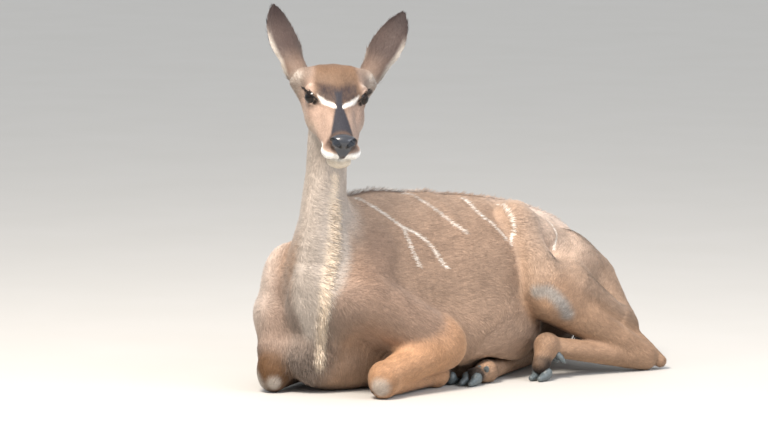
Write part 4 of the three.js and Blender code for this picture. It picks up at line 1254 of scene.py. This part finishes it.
def scatter(line, reach, n, rng):
    """Points within reach of a line drawn on the skin, laid on the skin."""
    line = np.array(line, float)
    steps = np.linalg.norm(np.diff(line, axis=0), axis=1)
    s = np.concatenate([[0], np.cumsum(steps)])
    u = rng.random(n) * s[-1]
    at = np.stack([np.interp(u, s, line[:, i]) for i in range(3)], 1)
    return on_skin(at + rng.normal(0, reach, (n, 3)))


def hang(root, out, lie, length, lift, drop, points=4):
    """Lines that leave the skin at an angle along the lie, then bend down."""
    t = np.linspace(0, 1, points)[None, :, None]
    start = unit(lie * np.cos(lift)[:, None] + out * np.sin(lift)[:, None])[:, None]
    fall = np.array([0, 0, -1.0])
    size = length[:, None, None]
    return (root - out * 1.5)[:, None] + start * size * t + fall * size * drop * t * t


# Long hair: finer and glossier than the coat, with the broad streaks of hair that clumps.
LONG_COAT = hair_material("long_cream_hair", 5.0, 0.5, 0.3)
print(LONG_COAT.name)

# %% Throat ridge, brisket, crest and tail
rng = np.random.default_rng(7)


def long_hair_piece(name, line, reach, n, length, wide, lift, drop, code=None):
    n = n
    at, out = scatter(line, reach, n, rng)
    lie = unit(heading(at, out) + rng.normal(0, 0.12, at.shape))
    size = length * rng.uniform(0.6, 1.15, n)
    lines = hang(at, out, lie, size, np.radians(lift) * rng.uniform(0.5, 1.4, n), drop)
    colour = tint(at, out) if code is None else np.tile(rgb(code), (n, 1))
    colour = colour * rng.uniform(0.8, 1.1, n)[:, None]
    wide = wide * rng.uniform(0.7, 1.3, n)
    return locks(name, lines, wide, out, colour * 0.8, colour * 1.1, LONG_COAT)


TAIL_LINE = [[-26, 845, 170], [-36, 854, 125], [-48, 865, 76], [-54, 872, 56]]
BRISKET_LINE = [[84, -64, 105], [40, -100, 100], [6, -85, 60]]
long_coats = [
    long_hair_piece("throat_ridge", THROAT[2:], 6, 3000, 30, 2.0, 7, 0.15),
    long_hair_piece("brisket_hair", BRISKET_LINE, 18, 1400, 24, 2.4, 12, 0.2),
    long_hair_piece("spine_crest", SPINE, 4, 2200, 20, 1.8, 24, 0.0),
    long_hair_piece("tail_tuft", TAIL_LINE, 7, 1500, 46, 3.0, 14, 0.15, code="#4a3d35"),
]
print("long locks:", [len(p.data.polygons) for p in long_coats])

# %% [markdown]
# ## Ears
#
# A kudu's ear is a large cupped leaf, rolled into a tube at its root. A flat leaf shape bent round
# its length gives the cup, wide below and pointed above. It is a thin closed shell with short
# hair on its back, long pale hair inside, a white fringe low on its outer edge and a dark tip.

# %% The shell of an ear
EAR_LENGTH, EAR_HALF_WIDTH, EAR_THICK = 178, 48, 2.4
ROOT_CURL, MID_CURL = 150, 48  # degrees that each half of the leaf is bent round


# For each ear, the way it points and the way its back faces. Her left is side 1.
EAR_WAYS = {
    1: ([0.05, 0.617, 0.785], [-0.3, 0.93, -0.08]),
    -1: ([-0.515, -0.035, 0.857], [-0.99, 0.03, -0.08]),
}


def ear_frame(side):
    root = in_head(-66, side * 70, 14)
    way, back_way = [np.array(v) for v in EAR_WAYS[side]]
    way = unit(way)
    mouth = unit(back_way - way * (back_way @ way))
    return root, way, mouth, unit(np.cross(way, mouth))


def ear_shape(side, t, u, inset):
    root, way, mouth, across = ear_frame(side)
    leaf = 0.42 + 0.58 * np.sin(math.pi * np.minimum(1, 0.13 + t * 0.62)) ** 1.2
    wide = 1.3 + (leaf - 1.3) * np.minimum(1, 3.5 * t)
    half = EAR_HALF_WIDTH * wide * np.sqrt(np.maximum(1 - t**3.2, 0.0035))
    curl = np.radians(ROOT_CURL + (MID_CURL - ROOT_CURL) * np.minimum(1, t * 2.3) ** 0.7) * (1 - 0.4 * t)
    r = half / curl
    bow = 10 * np.sin(math.pi * t) + 12 * t * t
    a = u * curl
    deep = r - (r - inset) * np.cos(a) + bow - 0.35 * EAR_HALF_WIDTH
    wide_at = (r - inset) * np.sin(a)
    return root + np.outer(EAR_LENGTH * t, way) + np.outer(deep, mouth) + np.outer(wide_at, across)


def outer_edge(side):
    across = ear_frame(side)[3]
    return 1 if across @ HEAD_LEFT * side > 0 else -1


def ear_tint(side, t, u, inner):
    c = np.tile(rgb("#514440"), (len(t), 1))
    c = lay(c, "#7a675b", smooth(0.45, 0.1, t))
    c = lay(c, "#352a29", smooth(0.6, 0.95, t))
    c = lay(c, "#b3aba2", smooth(0.68, 0.96, u * outer_edge(side)) * smooth(0.75, 0.5, t))
    c = lay(c, "#a3958a", smooth(0.6, 0.95, -u * outer_edge(side)) * smooth(0.5, 0.2, t))
    c = lay(c, "#8b7d72", smooth(0.12, 0.02, t))
    return lay(c, "#c9b3a6", np.full(len(t), 0.75 if inner else 0.0))


def make_ear(side, name, rows=64, cols=44):
    up, round_ = np.linspace(0, 1, rows + 1), np.linspace(-1, 1, cols + 1)
    t, u = [g.ravel() for g in np.meshgrid(up, round_, indexing="ij")]
    thick = EAR_THICK * (1 - 0.4 * t) * (1 - 0.5 * u**4)
    rim = 1.2
    verts = np.concatenate([ear_shape(side, t, u, rim), ear_shape(side, t, u, rim + thick)])
    n = (rows + 1) * (cols + 1)
    ids = np.arange(n).reshape(rows + 1, cols + 1)
    a, b, c, d = (ids[:-1, :-1].ravel(), ids[:-1, 1:].ravel(), ids[1:, 1:].ravel(), ids[1:, :-1].ravel())
    faces = [np.stack([a, b, c, d], 1), np.stack([d, c, b, a], 1) + n]
    loop = np.concatenate([ids[0, :-1], ids[:-1, -1], ids[-1, :0:-1], ids[:0:-1, 0]])
    after = np.roll(loop, -1)
    faces.append(np.stack([after, loop, loop + n, after + n], 1))
    piece = mesh_object(name, verts, np.concatenate(faces)[:, ::-1])
    paint(piece, np.concatenate([ear_tint(side, t, u, False), ear_tint(side, t, u, True)]) * 0.92)
    piece.data.materials.append(SKIN_COAT)
    return piece


# %% Hair on the ears


def ear_hair(side, name, n=9000):
    n = n
    t, u = rng.random(n) ** 0.8 * 0.97 + 0.02, rng.uniform(-0.99, 0.99, n)
    inner = rng.random(n) < 0.35
    inset = np.where(inner, 1.2 + EAR_THICK * 0.8, 1.4)
    at = ear_shape(side, t, u, inset)
    ahead = ear_shape(side, np.minimum(t + 0.02, 1.0), u, inset)
    beside = ear_shape(side, t, np.clip(u + 0.02, -1, 1.01), inset)
    out = unit(np.cross(ahead - at, beside - at))
    middle = ear_shape(side, t, u, inset + 3)
    out *= np.where(((middle - at) * out).sum(1) > 0, -1, 1)[:, None]
    out[inner] *= -1
    lie = unit(unit(ahead - at) + rng.normal(0, 0.12, at.shape))
    edge = smooth(0.8, 1.0, np.abs(u))
    length = np.where(inner, 12, 8) * (1 + edge) * rng.uniform(0.6, 1.2, n)
    colour = ear_tint(side, t, u, False)
    colour[inner] = lay(colour[inner], "#e0d5ca", np.full(inner.sum(), 0.6))
    wide = 1.5 * rng.uniform(0.7, 1.3, n)
    lift = np.radians(rng.uniform(6, 16, n))
    colour = colour * rng.uniform(0.82, 1.1, n)[:, None]
    return slivers(name, at, out, lie, length, wide, lift, colour, rng, BODY_COAT)


ears = [make_ear(side, name) for side, name in zip(SIDES, ("ear_shell_left", "ear_shell_right"))]
ear_coats = [ear_hair(side, name) for side, name in zip(SIDES, ("ear_hair_left", "ear_hair_right"))]
print("ears:", [len(e.data.polygons) for e in ears + ear_coats])

# %% [markdown]
# ## Eyes
#
# The eye is dark brown with a wide, level pupil that is hard to see in shade. What makes it look
# alive is the wet, clear cornea that bulges over the iris and mirrors the lights, so each ball is
# a lathe form with that bulge, under a glossy coat. Long lashes stand over the upper lid.

# %% Wet eye
# Water over a dark ball: almost black, with one small sharp light from the lamp.
EYE_WET, eye_tree, eye_shader = new_material("wet_dark_brown_eye", Roughness=0.2, IOR=1.376)
eye_shader.inputs["Specular IOR Level"].default_value = 0.2
eye_shader.inputs["Coat Weight"].default_value = 0.45
eye_shader.inputs["Coat Roughness"].default_value = 0.03
eye_painted = node(eye_tree, "ShaderNodeAttribute", {"attribute_name": "tint"})
eye_place = node(eye_tree, "ShaderNodeTexCoord")
eye_fibres = node(
    eye_tree, "ShaderNodeTexNoise", {"Scale": 1 / (1.5 * MM), "Detail": 4.0},
    {"Vector": eye_place.outputs["Object"]},
)
eye_mix = node(
    eye_tree, "ShaderNodeMapRange", {"To Min": 0.75, "To Max": 1.2},
    {"Value": eye_fibres.outputs["Fac"]},
)
eye_colour = node(
    eye_tree, "ShaderNodeVectorMath", {"operation": "SCALE"},
    {0: eye_painted.outputs["Color"], "Scale": eye_mix.outputs["Result"]},
)
eye_tree.links.new(eye_colour.outputs["Vector"], eye_shader.inputs["Base Color"])
print(EYE_WET.name)

# %% Eyeballs
BALL_R, CORNEA_RISE = EYE_R - 0.9, 1.4


def make_eyeball(eye, name, rings=40, spokes=56):
    turn = np.linspace(0, math.pi, rings + 1)[1:-1]
    around = np.linspace(0, 2 * math.pi, spokes, endpoint=False)
    a, s = [g.ravel() for g in np.meshgrid(turn, around, indexing="ij")]
    r = BALL_R + CORNEA_RISE * smooth(0.75, 0.3, a)
    x, y, z = r * np.sin(a) * np.cos(s), r * np.sin(a) * np.sin(s), r * np.cos(a)
    body = np.stack([x, y, z], 1) @ np.array([eye["corner"], eye["rise"], eye["look"]]) + eye["middle"]
    poles = eye["middle"] + np.outer([BALL_R + CORNEA_RISE, -BALL_R], eye["look"])
    ids = np.arange(len(body)).reshape(rings - 1, spokes)
    nxt = np.roll(ids, -1, 1)
    quads = np.stack([ids[:-1].ravel(), ids[1:].ravel(), nxt[1:].ravel(), nxt[:-1].ravel()], 1)
    front = np.stack([np.full(spokes, len(body)), ids[0], nxt[0]], 1)
    rear = np.stack([np.full(spokes, len(body) + 1), nxt[-1], ids[-1]], 1)
    tris = np.concatenate([quads[:, [0, 1, 2]], quads[:, [0, 2, 3]], front, rear])
    if np.cross(eye["corner"], eye["rise"]) @ eye["look"] < 0:
        tris = tris[:, ::-1]
    piece = mesh_object(name, np.concatenate([body, poles]), tris)
    across, high = np.append(x, [0, 0]), np.append(y, [0, 0])
    colour = np.tile(rgb("#120b08"), (len(across), 1))
    from_middle = np.hypot(across, high)
    colour = lay(colour, "#23140c", smooth(5, 9, from_middle) * smooth(13, 10, from_middle))
    colour = lay(colour, "#060505", smooth(1.15, 0.9, np.hypot(across / 8.5, high / 5)))
    paint(piece, colour)
    piece.data.materials.append(EYE_WET)
    return piece


eyeballs = [make_eyeball(e, name) for e, name in zip(EYES, ("eyeball_left", "eyeball_right"))]
print("eyeballs", 2 * BALL_R, "mm across")

# %% Lashes over the upper lids


def make_lashes(eye, name, n=170):
    turn = rng.uniform(0.05, 0.8, n) * math.pi
    root = np.array([
        on_eye(eye, -1.15 * EYE_LONG * math.cos(t), (EYE_HIGH + 1) * math.sin(t) ** 0.8, 2.4) for t in turn
    ])
    fan = -np.cos(turn)[:, None] * eye["corner"] * 0.5
    out = unit(root - eye["middle"])
    way = unit(out + fan + rng.normal(0, 0.08, root.shape) - 0.7 * eye["rise"])
    t = np.linspace(0, 1, 5)[None, :, None]
    size = ((17 - 3 * turn) * rng.uniform(0.7, 1.1, n))[:, None, None]
    lines = root[:, None] + way[:, None] * size * t + eye["rise"] * size * 0.14 * t * t
    dark = np.tile(rgb("#1c1512"), (n, 1))
    return locks(name, lines, np.full(n, 1.2), out, dark, dark, LONG_COAT)


lashes = [make_lashes(e, name) for e, name in zip(EYES, ("lashes_left", "lashes_right"))]
print("lashes:", [len(piece.data.polygons) for piece in lashes], "triangles")

# %% [markdown]
# ## Claws of horn
#
# Each foot has two hooves side by side and two dewclaws behind. They are horn, a hard keratin
# that grows down in fine rings and wears to a dull shine on its edges.

# %% Horn material
RING_MM, FLECK_MM = 9, 5  # growth rings drawn wider than the real 2 mm, so that they show
# Horn: a dark blue grey that turns pale where it is worn, with a dull shine.
HORN, horn_tree, horn_shader = new_material("blue_black_horn", Roughness=0.38, IOR=1.55)
horn_place = node(horn_tree, "ShaderNodeTexCoord")
rings = node(
    horn_tree, "ShaderNodeTexWave",
    {"bands_direction": "Z", "Scale": 1 / (RING_MM * MM), "Distortion": 2.0, "Detail": 2.0},
    {"Vector": horn_place.outputs["Object"]},
)
specks = node(
    horn_tree, "ShaderNodeTexNoise", {"Scale": 1 / (FLECK_MM * MM), "Detail": 4.0},
    {"Vector": horn_place.outputs["Object"]},
)
horn_ramp = node(horn_tree, "ShaderNodeMix", {"data_type": "RGBA"}, {"Factor": specks.outputs["Fac"]})
horn_ramp.inputs["A"].default_value = (*rgb("#3b4347"), 1)
horn_ramp.inputs["B"].default_value = (*rgb("#6a7476"), 1)
horn_bump = node(
    horn_tree, "ShaderNodeBump", {"Strength": 0.4, "Distance": 0.4 * MM},
    {"Height": rings.outputs["Fac"]},
)
horn_tree.links.new(horn_ramp.outputs["Result"], horn_shader.inputs["Base Color"])
horn_tree.links.new(horn_bump.outputs["Normal"], horn_shader.inputs["Normal"])
print(HORN.name)

# %% Hooves and dewclaws
FEET = {
    "hind_left": ([242, 446, 14], [0.18, -0.98], [246, 496, 50], [0.45, 0.5, -0.74]),
    "hind_right": ([188, 274, 14], [0.25, -0.97], [188, 312, 34], [0.75, -0.45, 0.48]),
    "fore_left": ([136, 254, 14], [-0.28, 0.96], [146, 222, 44], [-0.3, 0.6, 0.74]),
    "fore_right": ([-153, 127, 14], [-0.37, 0.93], [-138, 96, 44], [-0.15, 0.65, 0.74]),
}


def make_claws(tag, hoof, toe_way, spurs, spur_way, k, pair):
    hoof, (fx, fy) = np.array(hoof, float), toe_way
    side = np.array([-fy * k, fx * k, 0])
    fore = np.array([fx, fy, 0])
    toe, heel = hoof + side * 12 + fore * 19, hoof + side * 12 - fore * 8
    toe[2], heel[2] = 7, 14
    horn = joined(5, bar(heel, toe, 12.3, 6.6), ball(heel + [0, 0, 6.2], [12.3, 12.3, 11]))

    def claw(p):
        d = carve(horn(p), (p - hoof) @ side - 0.7, 1.5)
        return carve(d, p[:, 2] - 0.2, 1.5)

    low, high = np.minimum(toe, heel) - 20, np.maximum(toe, heel) + 26
    verts, faces = net(claw, low, high, 2.0)
    hoof_piece = mesh_object(f"hoof_{tag}_{pair}", settle(claw, verts, 2, 1.0), faces)
    way = unit(np.array(spur_way))
    at = np.array(spurs, float) + unit(side) * 10
    line = np.array([at - 9 * way, at, at + 9 * way, at + 16 * way])
    spur = cord(line, [7.6, 7.4, 5.6, 2.0])
    verts, faces = net(spur, line.min(0) - 14, line.max(0) + 14, 1.8)
    spur_piece = mesh_object(f"spur_{tag}_{pair}", settle(spur, verts, 2, 1.0), faces)
    for piece in (hoof_piece, spur_piece):
        piece.data.materials.append(HORN)
    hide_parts(f"claw_{tag}_{pair}")
    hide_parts(f"dewclaw_{tag}_{pair}")
    return [hoof_piece, spur_piece]


claws = []
for tag, (hoof, toe_way, spurs, spur_way) in FEET.items():
    for k, pair in ((1, "outer"), (-1, "inner")):
        claws += make_claws(tag, hoof, toe_way, spurs, spur_way, k, pair)
print(len(claws), "claws")

# %% [markdown]
# ## Joining the frame
#
# The model is a still one with a single body. Every piece rides on it, and each one that stands
# for a imported solid says so, so the collision shapes stay those of the solids.

# %% Ride, and hide the replaced solids
PARTS = ("pastern_hind", "pastern_fore", "cannon_hind", "cannon_fore", "gaskin", "forearm")
LEG_NODES = [f"{part}_{side}" for part in PARTS for side in ("left", "right")]
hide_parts("head", "neck", "torso", "tail", *LEG_NODES)
for side, shell, eyeball in zip(("left", "right"), ears, eyeballs):
    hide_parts(f"ear_{side}")
    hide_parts(f"eye_{side}")
SLOTS = [
    ("body fur", [skin, *coats[:NECK_ZONE]]), ("neck fur", [coats[NECK_ZONE], *long_coats[:3]]),
    ("leg fur", coats[FIRST_LEG_ZONE:HEAD_ZONE]), ("face fur", [coats[HEAD_ZONE], *lashes]),
    ("tail fur", [long_coats[3]]),
    ("ear fur", ears + ear_coats), ("eye", eyeballs), ("hoof horn", claws),
]
for slot, pieces in SLOTS:
    for piece in pieces:
        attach(piece, "root")
print(sum(len(pieces) for _, pieces in SLOTS), "pieces in", len(SLOTS), "slots")

# %% [markdown]
# ## Floor, light and camera
#
# The floor is plain and pale, and the light soft, as in a photographer's studio. One large lamp
# stands high above the camera like the sun in the photograph, and a weaker one fills her far side.

# %% Floor
SIDE_M = 90.0
FLOOR_CORNERS = np.array([[-1, -1, 0], [1, -1, 0], [1, 1, 0], [-1, 1, 0]]) * SIDE_M / MM / 2
floor = mesh_object("studio_floor", FLOOR_CORNERS, [[0, 1, 2, 3]], False)
# Matt painted board: no mirror light, so it stays one even pale grey with a soft shadow.
FLOOR, floor_tree, floor_shader = new_material("matt_pale_floor", Roughness=0.8)
floor_place = node(floor_tree, "ShaderNodeTexCoord")
floor_noise = node(
    floor_tree, "ShaderNodeTexNoise", {"Scale": 3.0}, {"Vector": floor_place.outputs["Object"]}
)
floor_mix = node(floor_tree, "ShaderNodeMix", {"data_type": "RGBA"}, {"Factor": floor_noise.outputs["Fac"]})
floor_mix.inputs["A"].default_value = (*rgb("#c3c1bc"), 1)
floor_mix.inputs["B"].default_value = (*rgb("#c8c6c2"), 1)
floor_tree.links.new(floor_mix.outputs["Result"], floor_shader.inputs["Base Color"])
floor.data.materials.append(FLOOR)
print("floor", SIDE_M, "m wide")

# %% Lights


def lamp(name, at, aim, size, power, colour):
    light = bpy.data.lights.new(name, "AREA")
    light.shape, light.size, light.energy = "DISK", size, power
    light.color = rgb(colour)
    holder = bpy.data.objects.new(name, light)
    holder.location = at
    holder.rotation_mode = "QUATERNION"
    holder.rotation_quaternion = (Vector(aim) - Vector(at)).to_track_quat("-Z", "Y")
    bpy.context.collection.objects.link(holder)


MIDDLE = (0.0, 0.3, 0.35)
lamp("key_lamp", (1.07, -2.34, 3.84), MIDDLE, 1.5, 320, "#fff4e8")
lamp("fill_lamp", (3.4, 1.0, 2.0), MIDDLE, 2.6, 60, "#eef3ff")
world = bpy.data.worlds.new("studio")
world.use_nodes = True
world.node_tree.nodes["Background"].inputs["Color"].default_value = (*rgb("#e9ebee"), 1)
world.node_tree.nodes["Background"].inputs["Strength"].default_value = 1.0
bpy.context.scene.world = world
bpy.context.scene.view_settings.view_transform = "Standard"
print("two lamps and a pale room")

# %% Camera at the photograph's angle
PHOTO_WIDTH, PHOTO_HEIGHT = 768, 432
ORIGIN_PX, PX_PER_M, DISTANCE = (326, 389), 440, 11
FOCAL_PX = PX_PER_M * DISTANCE
azimuth, rise_angle = math.radians(47), math.radians(6.5)
right = Vector((math.cos(azimuth), math.sin(azimuth), 0))
level_reach = math.cos(rise_angle)
back = Vector((math.sin(azimuth) * level_reach, -math.cos(azimuth) * level_reach, math.sin(rise_angle)))
above = back.cross(right)
camera = bpy.data.objects.new("camera", bpy.data.cameras.new("camera"))
camera.data.sensor_width = 36
camera.data.lens = FOCAL_PX / PHOTO_WIDTH * camera.data.sensor_width
to_right = (PHOTO_WIDTH / 2 - ORIGIN_PX[0]) / PX_PER_M
to_above = (ORIGIN_PX[1] - PHOTO_HEIGHT / 2) / PX_PER_M
camera.location = right * to_right + above * to_above + back * DISTANCE
camera.rotation_mode = "QUATERNION"
camera.rotation_quaternion = back.to_track_quat("Z", "Y")
camera.data.clip_start, camera.data.clip_end = 0.5, 60
bpy.context.collection.objects.link(camera)
bpy.context.scene.camera = camera
print("lens", round(camera.data.lens), "mm")
